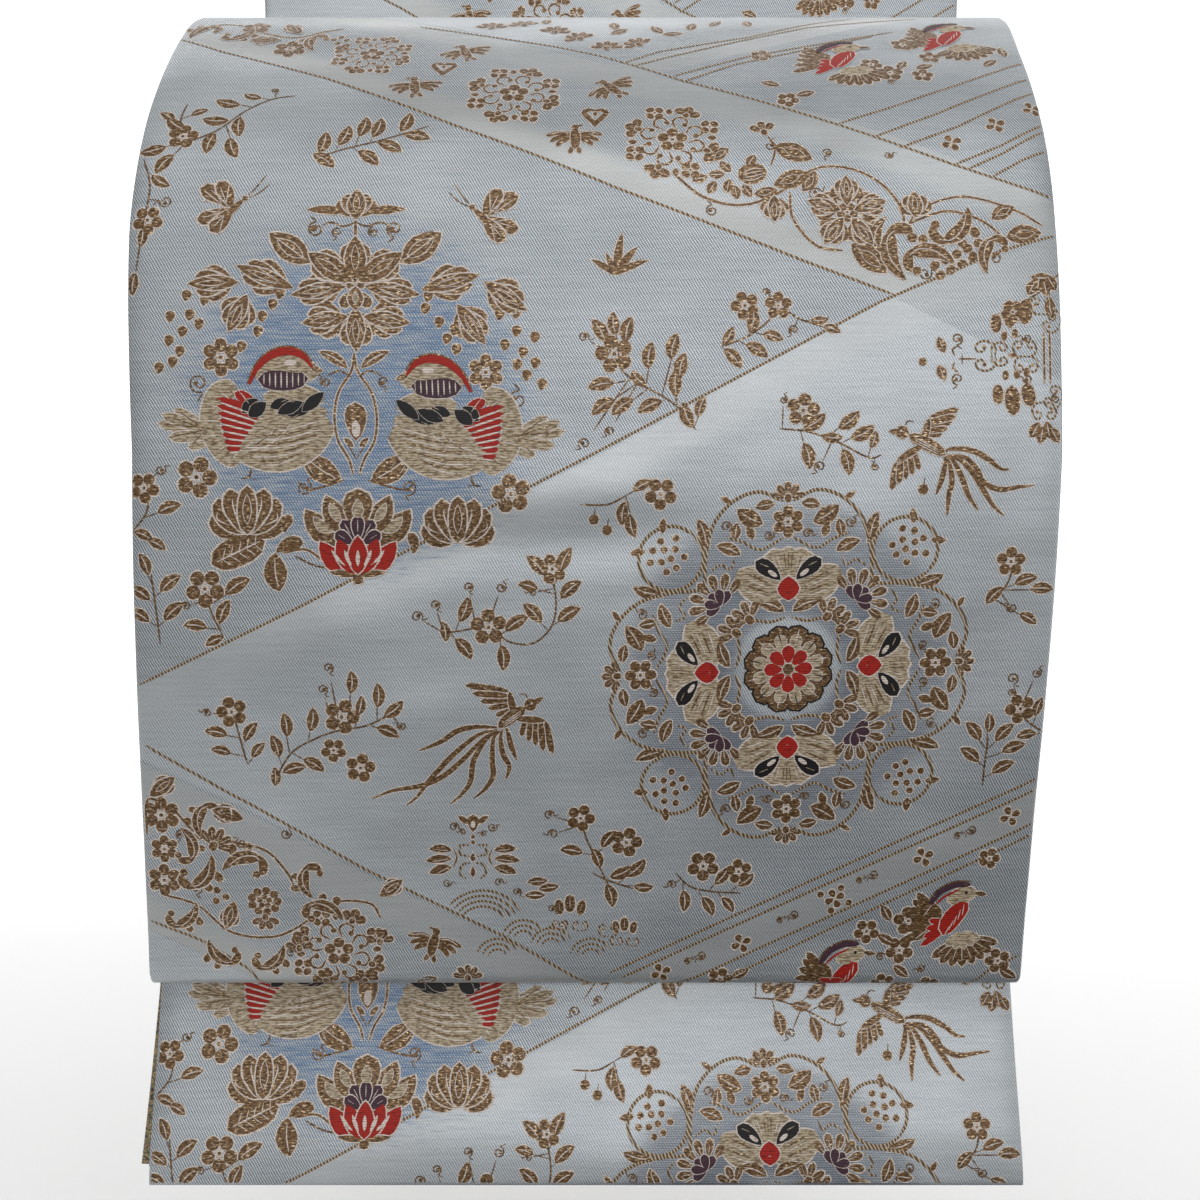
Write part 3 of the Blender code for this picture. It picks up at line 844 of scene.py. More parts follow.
def part_of(shape: Shape, inks: Sequence[Ink]) -> Shape:
    """The faces of a shape in some inks, with only their places, and finishes numbered from 0."""
    values = [ink.value for ink in inks]
    faces = shape.faces[np.isin(shape.finishes, values)]
    finishes = shape.finishes[np.isin(shape.finishes, values)]
    used = np.zeros(len(shape.points) + 1, bool)
    used[faces.ravel()] = True
    used[-1] = False
    number = np.cumsum(used) - 1
    number[-1] = -1
    return Shape(shape.points[used[:-1]], number[faces], shape.cloth[used[:-1]],
                 np.searchsorted(values, finishes))


# ---------------------------------------------------------------- shader expressions
Number: TypeAlias = "Wire | float"
Colour = tuple[float, float, float, float]


def shade(red: int, green: int, blue: int) -> Colour:
    """A display colour, 0 to 255 a channel, as linear light with full alpha."""
    def linear(value: float) -> float:
        """One channel: v / 12.92 under 0.04045, and ((v + 0.055) / 1.055) ^ 2.4 above."""
        value /= 255.0
        return value / 12.92 if value <= 0.04045 else ((value + 0.055) / 1.055) ** 2.4
    return linear(red), linear(green), linear(blue), 1.0


def joins(operation: str, swapped: bool = False) -> Callable[[Wire, Number], Wire]:
    """A method that puts a wire and another number through one Math node.

    Args:
        operation: what the node does.
        swapped: whether the other number comes first.
    Returns:
        The method.
    """
    def method(self: Wire, other: Number) -> Wire:
        """The node's output."""
        return self.math(operation, other, self) if swapped else self.math(operation, self, other)
    return method


class Wire:
    """A socket that carries a number, with the arithmetic of Math nodes."""

    def __init__(self, dye: Dye, socket: bpy.types.NodeSocket) -> None:
        """Wraps an output socket of the finish's nodes."""
        self.dye, self.socket = dye, socket

    def math(self, operation: str, *values: Number) -> Wire:
        """One Math node on values, in order."""
        return self.dye.node("ShaderNodeMath", {"operation": operation}, dict(enumerate(values)))

    __add__, __radd__ = joins("ADD"), joins("ADD", True)
    __sub__, __rsub__ = joins("SUBTRACT"), joins("SUBTRACT", True)
    __mul__, __rmul__ = joins("MULTIPLY"), joins("MULTIPLY", True)
    __truediv__, __mod__, __pow__ = joins("DIVIDE"), joins("FLOORED_MODULO"), joins("POWER")
    least, most = joins("MINIMUM"), joins("MAXIMUM")

    def sine(self) -> Wire:
        """Sine of radians."""
        return self.math("SINE", self)

    def size(self) -> Wire:
        """Absolute value."""
        return self.math("ABSOLUTE", self)

    def between(self, low: float, high: float, to_low: float = 0.0, to_high: float = 1.0) -> Wire:
        """Smooth step: to_low at low and to_high at high, with flat ends."""
        sockets = {"Value": self, "From Min": low, "From Max": high, "To Min": to_low, "To Max": to_high}
        return self.dye.node("ShaderNodeMapRange", {"interpolation_type": "SMOOTHSTEP"}, sockets)


class Dye:
    """The nodes of one finish, made by one method."""

    def __init__(self, name: str) -> None:
        """Starts a material with one Principled shader."""
        self.material = bpy.data.materials.new(name)
        self.material.use_nodes = True
        self.tree = self.material.node_tree
        self.shader = self.tree.nodes["Principled BSDF"]

    def node(self, kind: str, settings: dict[str, object], sockets: dict[str | int, object],
             output: str | int = 0) -> Wire:
        """Adds one node.

        Args:
            kind: the node's type.
            settings: its own settings, set first.
            sockets: values or wires for its inputs.
            output: the output that is wanted.
        Returns:
            That output.
        """
        made = self.tree.nodes.new(kind)
        for key, value in settings.items():
            setattr(made, key, value)
        for key, value in sockets.items():
            self.feed(made.inputs[key], value)
        return Wire(self, made.outputs[output])

    def feed(self, socket: bpy.types.NodeSocket, value: object) -> None:
        """Links a wire into a socket, or sets its value."""
        if isinstance(value, Wire):
            self.tree.links.new(value.socket, socket)
        else:
            socket.default_value = value

    def mix(self, share: Number, first: object, second: object, blend: str = "MIX") -> Wire:
        """Colour between two colours."""
        return self.node("ShaderNodeMix", {"data_type": "RGBA", "blend_type": blend},
                         {0: share, 6: first, 7: second}, 2)

    def cloth(self) -> tuple[Wire, Wire]:
        """The place across and in the pattern, in millimetres, from the cloth map."""
        uv = self.node("ShaderNodeUVMap", {"uv_map": "cloth"}, {})
        split = self.tree.nodes.new("ShaderNodeSeparateXYZ")
        self.tree.links.new(uv.socket, split.inputs[0])
        return Wire(self, split.outputs[0]) * 1000.0, Wire(self, split.outputs[1]) * 1000.0

    def noise(self, u: Number, v: Number, scale: float, detail: float = 2.0, rough: float = 0.5) -> Wire:
        """Noise on a place in millimetres, scale features a millimetre."""
        place = self.node("ShaderNodeCombineXYZ", {}, {0: u, 1: v})
        return self.node("ShaderNodeTexNoise", {"noise_dimensions": "3D"},
                         {"Vector": place, "Scale": scale, "Detail": detail, "Roughness": rough}, "Fac")

    def finish(self, colour: object, roughness: object, height: Wire | None = None, depth: float = 0.1,
               metallic: object = 0.0, sheen: float = 0.0, specular: float = 0.5) -> bpy.types.Material:
        """Sets the shader's sockets and returns the material.

        Args:
            colour: base colour.
            roughness: roughness.
            height: bump height, 0 to 1.
            depth: what a height of 1 stands for, in millimetres.
            metallic: share of metal.
            sheen: weight of the fibres' sheen.
            specular: specular level.
        Returns:
            The finished material.
        """
        self.feed(self.shader.inputs["Base Color"], colour)
        self.feed(self.shader.inputs["Roughness"], roughness)
        self.feed(self.shader.inputs["Metallic"], metallic)
        self.shader.inputs["Sheen Weight"].default_value = sheen
        self.shader.inputs["Sheen Roughness"].default_value = 0.4
        self.shader.inputs["Specular IOR Level"].default_value = specular
        if height is not None:
            bump = {"Strength": 1.0, "Distance": depth * 0.001, "Height": height}
            self.feed(self.shader.inputs["Normal"], self.node("ShaderNodeBump", {}, bump, "Normal"))
        return self.material


TAU = 2.0 * math.pi


@dataclass(frozen=True)
class SilverGround:
    """The silver-grey twill ground, with pearl strips by the cords and threaded grounds under two motifs."""

    dark: Colour = shade(92, 101, 108)
    light: Colour = shade(246, 251, 255)
    pearl: Colour = shade(186, 184, 176)
    blue: Colour = shade(84, 118, 158)
    grey: Colour = shade(104, 110, 122)
    deep: Colour = shade(40, 62, 92)
    pitch: float = 0.84  # of the twill's lines, in millimetres
    repeat: float = LINE.strip.repeat

    def strips(self, u: Wire, v: Wire) -> tuple[Wire, Wire]:
        """Where the cloth is pearl, and where the middle field's plainer weave lies.

        fall, rise and climb are the pattern's place measured from the falling band's lower cord, from the
        rails and from the long diagonal, each back to nothing after one repeat. sag and rest are how far
        the falling cord and the long diagonal stand off straight lines. The pearl strips lie low and high
        in the falling band, beside the diagonal and between the rails.
        """
        sag = u.between(0.0, 110.0, 0.0, 8.5) - u.between(-110.0, -60.0, 0.0, 2.5)
        rest = u.between(-10.0, 85.0, 0.0, 3.0) - u.between(105.0, 160.0, 0.0, 7.3)
        fall = (v + u * 0.5 - 293.0 - sag) % self.repeat
        rise = (v - u * 0.5 + 100.0) % self.repeat
        climb = (v - u * 0.505 - 197.0 - rest) % self.repeat
        left = 1.0 - u.between(8.0, 16.0) * climb.between(222.0, 236.0)
        low = fall.between(0.0, 0.8) * fall.between(8.0, 17.0, 1.0, 0.0)
        high = fall.between(42.0, 50.0) * fall.between(61.0, 62.0, 1.0, 0.0)
        beside = climb.between(self.repeat - 20.0, self.repeat - 9.0) * climb.between(
            self.repeat - 1.2, self.repeat - 0.4, 1.0, 0.0)
        rails = (rise.between(92.6, 93.4) * rise.between(105.8, 106.6, 1.0, 0.0)
                 * fall.between(61.0, 62.0) * fall.between(204.0, 212.0, 1.0, 0.0))
        pearl = ((low * 0.8 + high * 0.6) * left + beside * 0.35 + rails * 0.6).least(1.0)
        middle = climb.between(150.0, 190.0) * fall.between(62.0, 64.0)
        return pearl, middle

    def made(self) -> bpy.types.Material:
        """Twill w = sin(tau (0.87 u + 0.5 v) / pitch), broken by noise, between a dark and a light thread."""
        dye = Dye("silver_ground")
        u, v = dye.cloth()
        pattern = v % self.repeat
        pearl, middle = self.strips(u, v)
        wander = dye.noise(u, v, 0.3, 1.0)
        twill = ((u * 0.866 + v * 0.5 + wander * 0.5) * (TAU / self.pitch)).sine() * 0.5 + 0.5
        twill = twill * (0.62 + ((u * 0.5 - v * 0.866) * (TAU / 0.62)).sine() * 0.38)
        grain = dye.noise(u * 1.5, v, 1.5, 2.0, 0.6)
        streak = dye.noise(u * 0.05, v * 0.9, 1.0, 3.0, 0.6)
        cloud = dye.noise(u, v, 0.02, 2.0)
        weft = (v * (TAU / 0.8)).sine() * 0.5 + 0.5
        warp = (u * (TAU / 0.72)).sine() * 0.5 + 0.5
        # the threaded grounds: blue water under the ducks and grey under the flower medallion, both with
        # ragged rims, from each one's distance to its middle as a share of its radius
        ragged = dye.noise(u * 0.10, v * 1.5, 1.0, 3.0, 0.7)
        duck = ((((u + 78.0) / 62.0) ** 2.0) + (((pattern - 216.0) / 62.0) ** 2.0)) ** 0.5
        flower = ((((u - 66.0) / 57.0) ** 2.0) + (((pattern - 126.0) / 57.0) ** 2.0)) ** 0.5
        in_duck = (duck + (ragged - 0.5) * 1.1).between(0.62, 1.04, 1.0, 0.0)
        sheaf = dye.noise(u * 0.09, v * 1.1, 1.0, 2.0, 0.8)
        in_flower = (flower + (ragged - 0.5) * 0.35).between(0.88, 1.04, 1.0, 0.0)
        in_flower = in_flower * flower.between(0.28, 0.34)
        shadow = flower.between(0.30, 0.40) * flower.between(0.60, 0.72, 1.0, 0.0)
        # the colour, from the plain twill to the grounds on it
        tone = (0.52 + (twill - 0.5) * (0.9 - pearl * 0.5 - middle * 0.28) + (grain - 0.5) * 0.5
                + (streak - 0.5) * 0.25 + (cloud - 0.5) * 0.22 + middle * 0.05).least(1.0).most(0.0)
        colour = dye.mix(tone, self.dark, self.light)
        colour = dye.mix(pearl * 0.5, colour, self.pearl)
        net = 0.35 + weft * 0.45 + warp * 0.2
        colour = dye.mix(in_duck * net * sheaf.between(0.36, 0.58, 0.25, 1.0), colour, self.blue)
        colour = dye.mix(in_duck * sheaf.between(0.60, 0.70) * 0.4, colour, self.deep)
        threaded = net * ragged.between(0.25, 0.6, 0.4, 0.9) + shadow * 0.25
        colour = dye.mix(in_flower * threaded, colour, self.grey)
        broad = dye.noise(u, v * 1.5, 0.017, 1.0)
        rough = 0.40 + (grain - 0.5) * 0.2 + in_duck * 0.1 + in_flower * 0.1 - pearl * 0.03
        height = twill * (0.7 - pearl * 0.2) + grain * 0.3 + (in_duck + in_flower) * weft * 0.5 + broad * 40.0
        return dye.finish(colour, rough, height, 0.06, 0.36, 0.1, 0.5)


@dataclass(frozen=True)
class GoldThread:
    """Gilt paper thread: old gold, with bright glints painted into its colour where single turns would catch
    the light.
    """

    dark: Colour = shade(54, 37, 20)
    middle: Colour = shade(124, 92, 57)
    # light is a painted highlight: the colour of the bright glints
    light: Colour = shade(240, 220, 184)

    def made(self) -> bpy.types.Material:
        """Two noises pick dark or gold turns and painted bright glints, on ridges laid across the cloth."""
        dye = Dye("gold_thread")
        u, v = dye.cloth()
        glint = dye.noise(u * 0.7, v * 1.7, 0.9, 2.0, 0.75)
        slow = dye.noise(u, v, 0.12, 1.0)
        ridge = (v * (TAU / 0.66)).sine() * 0.5 + 0.5
        body = dye.mix(glint.between(0.34, 0.56), self.dark, self.middle)
        # painted highlight: bright glints where the noise is high, stronger where the slow noise is high
        colour = dye.mix((glint.between(0.56, 0.70) * (0.40 + slow * 1.1)).least(1.0), body, self.light)
        return dye.finish(colour, glint.between(0.35, 0.65, 0.55, 0.32), ridge * 0.4 + glint, 0.06,
                          glint.between(0.4, 0.65, 0.2, 0.5))


@dataclass(frozen=True)
class TwistedCord:
    """Two threads, gold and pale, twisted into the cords that part the fields."""

    gold: Colour = shade(98, 73, 46)
    pale: Colour = shade(198, 182, 156)
    turn: float = 1.35

    def made(self) -> bpy.types.Material:
        """Slanting turns w = sin(tau (u + 0.5 v) / turn) pick one thread or the other."""
        dye = Dye("twisted_cord")
        u, v = dye.cloth()
        twist = ((u + v * 0.5 + dye.noise(u, v, 0.4, 1.0)) * (TAU / self.turn)).sine() * 0.5 + 0.5
        colour = dye.mix(twist.between(0.35, 1.0), self.gold, self.pale)
        return dye.finish(colour, 0.45, twist, 0.08, 0.2)


@dataclass(frozen=True)
class SilkThread:
    """A silk thread of one dye, flecked with a second colour."""

    name: str
    body: Colour
    fleck: Colour
    flecked: float = 0.5
    rough: float = 0.55

    def made(self) -> bpy.types.Material:
        """Noise picks flecks over the dye, on ridges laid across the cloth."""
        dye = Dye(self.name)
        u, v = dye.cloth()
        speck = dye.noise(u * 0.45, v * 1.9, 0.9, 2.0, 0.65)
        ridge = (v * (TAU / 0.8)).sine() * 0.5 + 0.5
        shadow = dye.mix(ridge * 0.35, self.body, shade(20, 14, 12))
        share = 0.3 * self.flecked
        colour = dye.mix(speck.between(0.70 - share, 0.84 - share) * 0.8, shadow, self.fleck)
        return dye.finish(colour, self.rough, ridge * 0.6 + speck * 0.5, 0.06, 0.0, 0.06, 0.3)


@dataclass(frozen=True)
class SpeckledLining:
    """The lining, shot with gold, green, black, grey and red threads that show at the edges."""

    def made(self) -> bpy.types.Material:
        """Noise down the strip picks one of five dyes, crossed by a fine weft."""
        dye = Dye("speckled_lining")
        u, v = dye.cloth()
        pick = dye.noise(u * 0.9, v * 1.4, 0.9, 1.5, 0.6)
        other = dye.noise(u * 1.1 + 40.0, v * 1.7, 0.7, 1.0)
        base = dye.mix(pick.between(0.38, 0.46), shade(34, 32, 36), shade(120, 112, 96))
        base = dye.mix(pick.between(0.52, 0.58), base, shade(176, 148, 92))
        base = dye.mix(other.between(0.58, 0.64) * 0.8, base, shade(96, 112, 74))
        base = dye.mix(other.between(0.30, 0.38, 1.0, 0.0) * 0.8, base, shade(140, 66, 52))
        ridge = ((v + u * 0.4) * (TAU / 0.8)).sine() * 0.5 + 0.5
        return dye.finish(base, 0.55, ridge * 0.6 + pick * 0.6, 0.09, 0.1, 0.1)


@dataclass(frozen=True)
class StudioFloor:
    """The plain pale floor and the backdrop swept up behind it."""

    tone: Colour = (0.92, 0.92, 0.92, 1.0)

    def made(self) -> bpy.types.Material:
        """One matt pale paint, with a very faint grain."""
        dye = Dye("studio_floor")
        where = dye.node("ShaderNodeTexCoord", {}, {}, "Object")
        grain = dye.node("ShaderNodeTexNoise", {}, {"Vector": where, "Scale": 900.0, "Detail": 1.0}, "Fac")
        return dye.finish(dye.mix(grain * 0.04, self.tone, (0.8, 0.8, 0.8, 1.0)), 0.9, specular=0.2)


class Finishes:
    """Every finish of the sash, made once: the two cloths, and the thread of each ink."""

    def __init__(self) -> None:
        """Makes them."""
        self.ground = SilverGround().made()
        self.lining = SpeckledLining().made()
        self.threads = {
            GOLD: GoldThread().made(),
            PALE: SilkThread("pale_outline_thread", shade(236, 224, 214), shade(150, 122, 98), 0.6).made(),
            CORD: TwistedCord().made(),
            RED: SilkThread("red_thread", shade(180, 34, 21), shade(96, 22, 16), 0.6).made(),
            PURPLE: SilkThread("purple_thread", shade(74, 48, 60), shade(150, 128, 132), 0.3).made(),
            BLACK: SilkThread("black_thread", shade(26, 23, 24), shade(92, 84, 80), 0.2, 0.5).made(),
            CREAM: SilkThread("cream_thread", shade(206, 190, 162), shade(104, 82, 58), 0.85).made(),
        }


# ---------------------------------------------------------------- motifs, drawn one by one
def ring(x: float, y: float, radius: float, first: float = 0.0, last: float = 360.0, count: int = 15) -> Run:
    """Places on a circle about (x, y), from one angle to another in degrees."""
    turn = np.radians(np.linspace(first, last, count))
    return list(zip(x + radius * np.cos(turn), y + radius * np.sin(turn)))


class Brush(Pen):
    """A pen that knows the leaves, flowers and scrolls that the motifs share."""

    def leaf(self, x: float, y: float, turn: float, length: float = 9.0, half: float = 0.0, bend: float = 0.0,
             veined: bool = True) -> None:
        """A leaf about its middle, with a pale vein along it if it is veined."""
        with self.at(x, y, turn):
            self.figure(-length / 2, 0, length / 2, 0, half or 0.25 * length, bend=bend)
            if veined:
                vein = [(-0.38 * length, 0.4 * bend), (0, bend), (0.36 * length, 0.5 * bend)]
                self.line(vein, 0.2, PALE, 2)

    def dot(self, x: float, y: float, radius: float = 1.0, ink: Ink = GOLD, level: int = 1,
            edge: float = 0.3) -> None:
        """A round spot."""
        self.figure(x - radius, y, x + radius, y, radius, ink, OVAL, level=level, edge=edge)

    def bloom(self, x: float, y: float, radius: float, petals: int = 5, turn: float = 90.0) -> None:
        """An open flower: separate petals all round a small pale heart. Only a large one's have veins."""
        half = 0.62 * radius * math.sin(math.pi / petals)
        with self.at(x, y, turn):
            for _ in self.around(petals):
                self.figure(0.26 * radius, 0, radius, 0, half, leaf=OVAL)
                if radius > 5.5:
                    self.line([(0.36 * radius, 0), (0.7 * radius, 0)], 0.15, PALE, 2)
            self.dot(0, 0, 0.17 * radius + 0.2, PALE, 2, 0)
            self.dot(0, 0, 0.09 * radius + 0.1, GOLD, 3, 0)

    def lobed(self, x: float, y: float, turn: float, long: float, wide: float, lobes: int = 5) -> None:
        """A lobed leaf or petal that spreads from its foot, each lobe outlined over the last.

        Args:
            x: its foot, to the right.
            y: its foot, up.
            turn: degrees anticlockwise, the way its middle lobe points.
            long: length of the middle lobe.
            wide: width over all.
            lobes: three or five.
        """
        pairs = ((1, 0.62, 1), (0.52, 0.84, 2))[-(lobes // 2):]
        half = 0.52 * wide / (1 + lobes // 2)
        with self.at(x, y, turn):
            for spread, reach, level in pairs:
                for side in (-1, 1):
                    tip = complex(reach * long, side * spread * (0.5 * wide - 0.6 * half))
                    self.figure(0.12 * long, 0.05 * tip.imag, tip.real, tip.imag, half, leaf=PETAL,
                                bend=side * 0.4, level=level, edge=0.5)
                    self.line([(0.34 * tip.real, 0.3 * tip.imag), (0.82 * tip.real, 0.84 * tip.imag)], 0.2,
                              PALE, level + 1)
            self.figure(0, 0, long, 0, 1.15 * half, level=3, edge=0.5)
            self.figure(0.26 * long, 0, 0.8 * long, 0, 0.36 * half, level=4, edge=0.3)

    def comma(self, x: float, y: float, turn: float, size: float = 1.0, flip: bool = False) -> None:
        """A curled leaf of the scroll: a thick crescent that closes on a bead, with two lobes on its back."""
        with self.at(x, y, turn, size, flip):
            self.figure(-5.4, 1, -7, 5.4, 1.5, leaf=PETAL, bend=0.3)
            self.figure(-0.4, 3.4, -2.4, 7.6, 1.4, leaf=PETAL, bend=0.3)
            self.figure(-7.4, -4.8, 3.6, 3.6, 2.3, leaf=PETAL, bend=2.6, level=2, edge=0.45)
            self.figure(1.2, 4.6, 5.6, -1.6, 1.6, leaf=PETAL, bend=1.8, level=2, edge=0.4)
            self.dot(4, -1.9, 1.35, level=2)
            self.line([(-6, -2.6), (-3.4, 1.6), (0.8, 4), (4, 3.2)], 0.2, PALE, 3)

    def fan(self, x: float, y: float, radius: float, turn: float, petals: int = 5, span: float = 150.0,
            start: float = 0.2, base: bool = True, width: float = 0.62) -> None:
        """A half flower seen from the side: petals spread over an angle from its base.

        Args:
            x: its foot, to the right.
            y: its foot, up.
            radius: length of a petal.
            turn: degrees anticlockwise, the way it opens.
            petals: how many.
            span: degrees from the first to the last.
            start: share of the radius where a petal starts.
            base: whether it has a small base.
            width: share of the room between two petals that one fills.
        """
        step = span / (petals - 1)
        half = width * radius * math.sin(math.radians(min(step, 60)) / 2)
        with self.at(x, y, turn):
            for _ in self.around(petals, -span / 2, step):
                self.figure(start * radius, 0, radius, 0, half, leaf=PETAL)
                if radius > 5:
                    self.line([(0.4 * radius, 0), (0.8 * radius, 0)], 0.16, PALE, 2)
            if base:
                self.figure(-0.22 * radius, 0, 0.3 * radius, 0, 0.2 * radius, leaf=OVAL, level=2, edge=0.3)

    def curl(self, x: float, y: float, radius: float = 2.2, turn: float = 0.0, flip: bool = False,
             turns: float = 1.2, half: float = 0.28, bead: float = 0.75) -> None:
        """A tendril: a spiral that closes on a bead, its open end towards turn + 180 degrees."""
        with self.at(x, y, turn, flip=flip):
            t = np.linspace(0, 1, 12)
            angle, reach = math.pi + TAU * turns * t, radius * (1 - 0.68 * t)
            points = list(zip(reach * np.cos(angle), reach * np.sin(angle)))
            self.line([(-1.6 * radius, -0.8 * radius), *points], half)
            self.dot(*points[-1], bead, edge=0)


class Mandarin:
    """One duck of the pair, facing right, about the middle of its body."""

    def tail(self, pen: Brush) -> None:
        """The tail, the pale back and the red wing feathers."""
        for i, (x, y) in enumerate(((-40.4, 2.2), (-39, 5.2), (-34.6, 7), (-37, -2.4), (-30.5, -5.8))):
            pen.figure(-22, 0.4 - 0.4 * i, x, y, 1.75, CREAM, FEATHER, 0.4, 1 + i % 2, 0.4)
            pen.line([(-25, 0.8 - 0.3 * i), (0.9 * x - 2, 0.86 * y)], 0.2, level=3)
        back = ((-14, 13.6), (-19.6, 12.4), (-22.6, 7), (-22.8, 0), (-19.8, -6.4), (-13.6, -10.6))
        pen.line(back, 3.2, CREAM, 2, edge=0.5)
        for i in range(13):
            c, s = direction(100 + 12.5 * i)
            pen.line([(-11 + 9.6 * c, 2 + 10 * s), (-11.4 + 13.6 * c, 2 + 12.8 * s)], 0.24,
                     GOLD if i % 2 else PALE, 3)
        for i in range(8):
            left, right = (-20.6 + 0.06 * i * i, 10.4 - 2.4 * i), (-6 - i, 5 - 1.6 * i)
            pen.figure(*left, *right, 1.25, RED, FEATHER, 0.5, 3, 0)
            pen.line([(left[0] + 0.6, left[1] - 1.2), (right[0], right[1] - 0.8)], 0.32, PALE, 4)
        pen.figure(-14.6, 12.2, -8.2, 8.2, 1.9, RED, OVAL, 0.4, 3, 0.32)
        pen.line([(-12.6, 12.2), (-9.6, 8.2)], 0.22, PALE, 4)

    def body(self, pen: Brush) -> None:
        """The round body with its contour lines, the folded wing and the feet."""
        pen.line([(-16.6, -4.8), (-8, -5), (2, -3.8), (10, -1.6), (17, 1.8)], 9.4, CREAM, 2, edge=0.55,
                 ribbon=True)
        pen.line([(-5, 9.8), (4, 10.8), (14.8, 10.4)], 4.4, CREAM, 2, edge=0.5, ribbon=True)
        pen.line([(-7, 5.8), (4, 5.8), (15.8, 5.6)], 4.2, CREAM, 3, ribbon=True)
        for i in range(9):
            y = 2.6 - 1.5 * i
            left, right = -13.4 + 0.11 * i * i, 13.6 - 0.13 * i * i
            ink = GOLD if i % 2 else PALE
            pen.line([(left, y - 2.4), (0.5 * (left + right), y - 2.9 + 0.12 * i), (right, y + 0.4)], 0.23,
                     ink, 3)
        for i in range(6):
            pen.line([(12.6 + 0.4 * i - 0.12 * i * i, 7.4 - 2.4 * i),
                      (14.6 + 0.2 * i - 0.16 * i * i, 7 - 2.4 * i)], 0.26, PALE, 4)
        pen.figure(-15, -6.4, 3.6, 2, 4.6, CREAM, bend=1.4, level=3, edge=0.5)
        for i in range(4):
            pen.line([(-11.5 + 1.3 * i, -5.4 + 0.3 * i), (-5 + i, -2.4 + 0.6 * i),
                      (-0.6 + 0.8 * i, 0.2 + 0.4 * i)], 0.22, GOLD if i % 2 else PALE, 4)
        pen.line([(-9.5, -12), (-10.4, -15.4), (-13, -16)], 0.4)
        pen.line([(-10.4, -15.4), (-8.4, -16.4)], 0.35)

    def head(self, pen: Brush) -> None:
        """The head under its red band, the purple cheek, the beak and the black collar."""
        pen.line([(-7.4, 18.6), (2, 20.2), (13.4, 19)], 5.6, CREAM, 2, edge=0.4, ribbon=True)
        pen.figure(-6.9, 16.6, 9.9, 16.9, 3.5, PURPLE, OVAL, -0.4, 3, 0.3)
        for i in range(8):
            x = -4.8 + 1.9 * i
            pen.line([(x, 13.8 + 0.03 * (x - 1.5) ** 2), (x + 0.1, 19 - 0.02 * (x - 1.5) ** 2)], ink=PALE,
                     level=4)
        pen.line([(-7.4, 17), (-6, 19.4), (0, 19.9), (6, 19.2), (10.6, 19.8)], 0.42, CREAM, 4)
        band = ((-9.8, 15), (-7.2, 20.4), (-2.6, 24.6), (3.4, 26), (8.4, 24.2), (11.4, 20.4))
        pen.line(band, 1.5, RED, 3, ribbon=True)
        pen.line([(x * 1.06, 14 + (y - 14) * 1.13) for x, y in band], level=3)
        pen.figure(10.8, 20.4, 14.8, 19.2, 1, level=3, edge=0.3)
        pen.figure(2, 22, 6.2, 22.2, 1, PALE, OVAL, level=4, edge=0)
        pen.dot(4.2, 22.1, 0.45, BLACK, 4, 0)
        collar = ((-12.4, 5.6, -7, 10.2, 2.2, 4), (-10.2, 4.4, -4.2, 9, 2.3, 5), (-3, 7.4, 3.4, 9.8, 1.8, 4),
                  (-0.6, 5.4, 8, 9.2, 2, 5), (2.6, 4.6, 12.6, 9.2, 2.1, 4), (7.6, 6, 15, 12.4, 2, 5))
        for x0, y0, x1, y1, half, level in collar:
            pen.figure(x0, y0, x1, y1, half, BLACK, level=level, edge=0.16)
            for k in (-0.34, 0.3):
                x, y = 0.5 * (x0 + x1) - k * (y1 - y0), 0.5 * (y0 + y1) + k * (x1 - x0)
                pen.line([(x - 0.22 * (x1 - x0), y - 0.22 * (y1 - y0)),
                          (x + 0.22 * (x1 - x0), y + 0.22 * (y1 - y0))], 0.17, CREAM, level + 1)

    def draw(self, pen: Brush) -> None:
        """Draws the whole duck."""
        self.tail(pen)
        self.body(pen)
        self.head(pen)


@dataclass(frozen=True)
class Phoenix:
    """A small long-tailed bird in flight, facing left, about the middle of its body.

    Attributes:
        beak: tip of its beak.
        head: middle of its head.
        root: where its tail starts.
        upper: end of the upper wing's arm, then the tips of its long feathers.
        lower: the same of the lower wing.
        tails: the ribbons of its tail, which swell and narrow again.
    """

    beak: Pair
    head: Pair
    root: Pair
    upper: Run
    lower: Run
    tails: Sequence[Run]

    def draw(self, pen: Brush) -> None:
        """Draws the streaming tail, the two spread wings, then the body and the crested head."""
        (head_x, head_y), (root_x, root_y) = self.head, self.root
        for run in self.tails:
            pen.line(run, 0.95, edge=0.3, ribbon=True)
        for arm, *tips in (self.upper, self.lower):
            for i, tip in enumerate(tips):
                share = 1 - 0.82 * i / len(tips)
                pen.figure(arm[0] * share, arm[1] * share, *tip, 1.12 - 0.06 * i, leaf=FEATHER,
                           level=1 + i % 2, edge=0.3)
            pen.figure(0, 0, *arm, 1.15, leaf=OVAL, level=3, edge=0.3)
        pen.figure(head_x * 0.7, head_y * 0.8, root_x, root_y, 2.1, leaf=OVAL, bend=0.3, level=3, edge=0.4)
        for k in (-0.8, 0, 0.8):
            pen.line([(head_x * 0.4, head_y * 0.4 + k), (root_x * 0.7, root_y * 0.7 + k)], 0.18, PALE, 4)
        pen.dot(head_x, head_y, 2.1, level=3, edge=0.35)
        pen.figure(head_x, head_y, *self.beak, 0.95, level=3, edge=0.25)
        pen.dot(head_x - 0.4, head_y + 0.5, 0.4, PALE, 4, 0)
        pen.line([(head_x + 0.6, head_y + 1.6), (head_x + 2, head_y + 3.8), (head_x + 3.8, head_y + 3.4)])


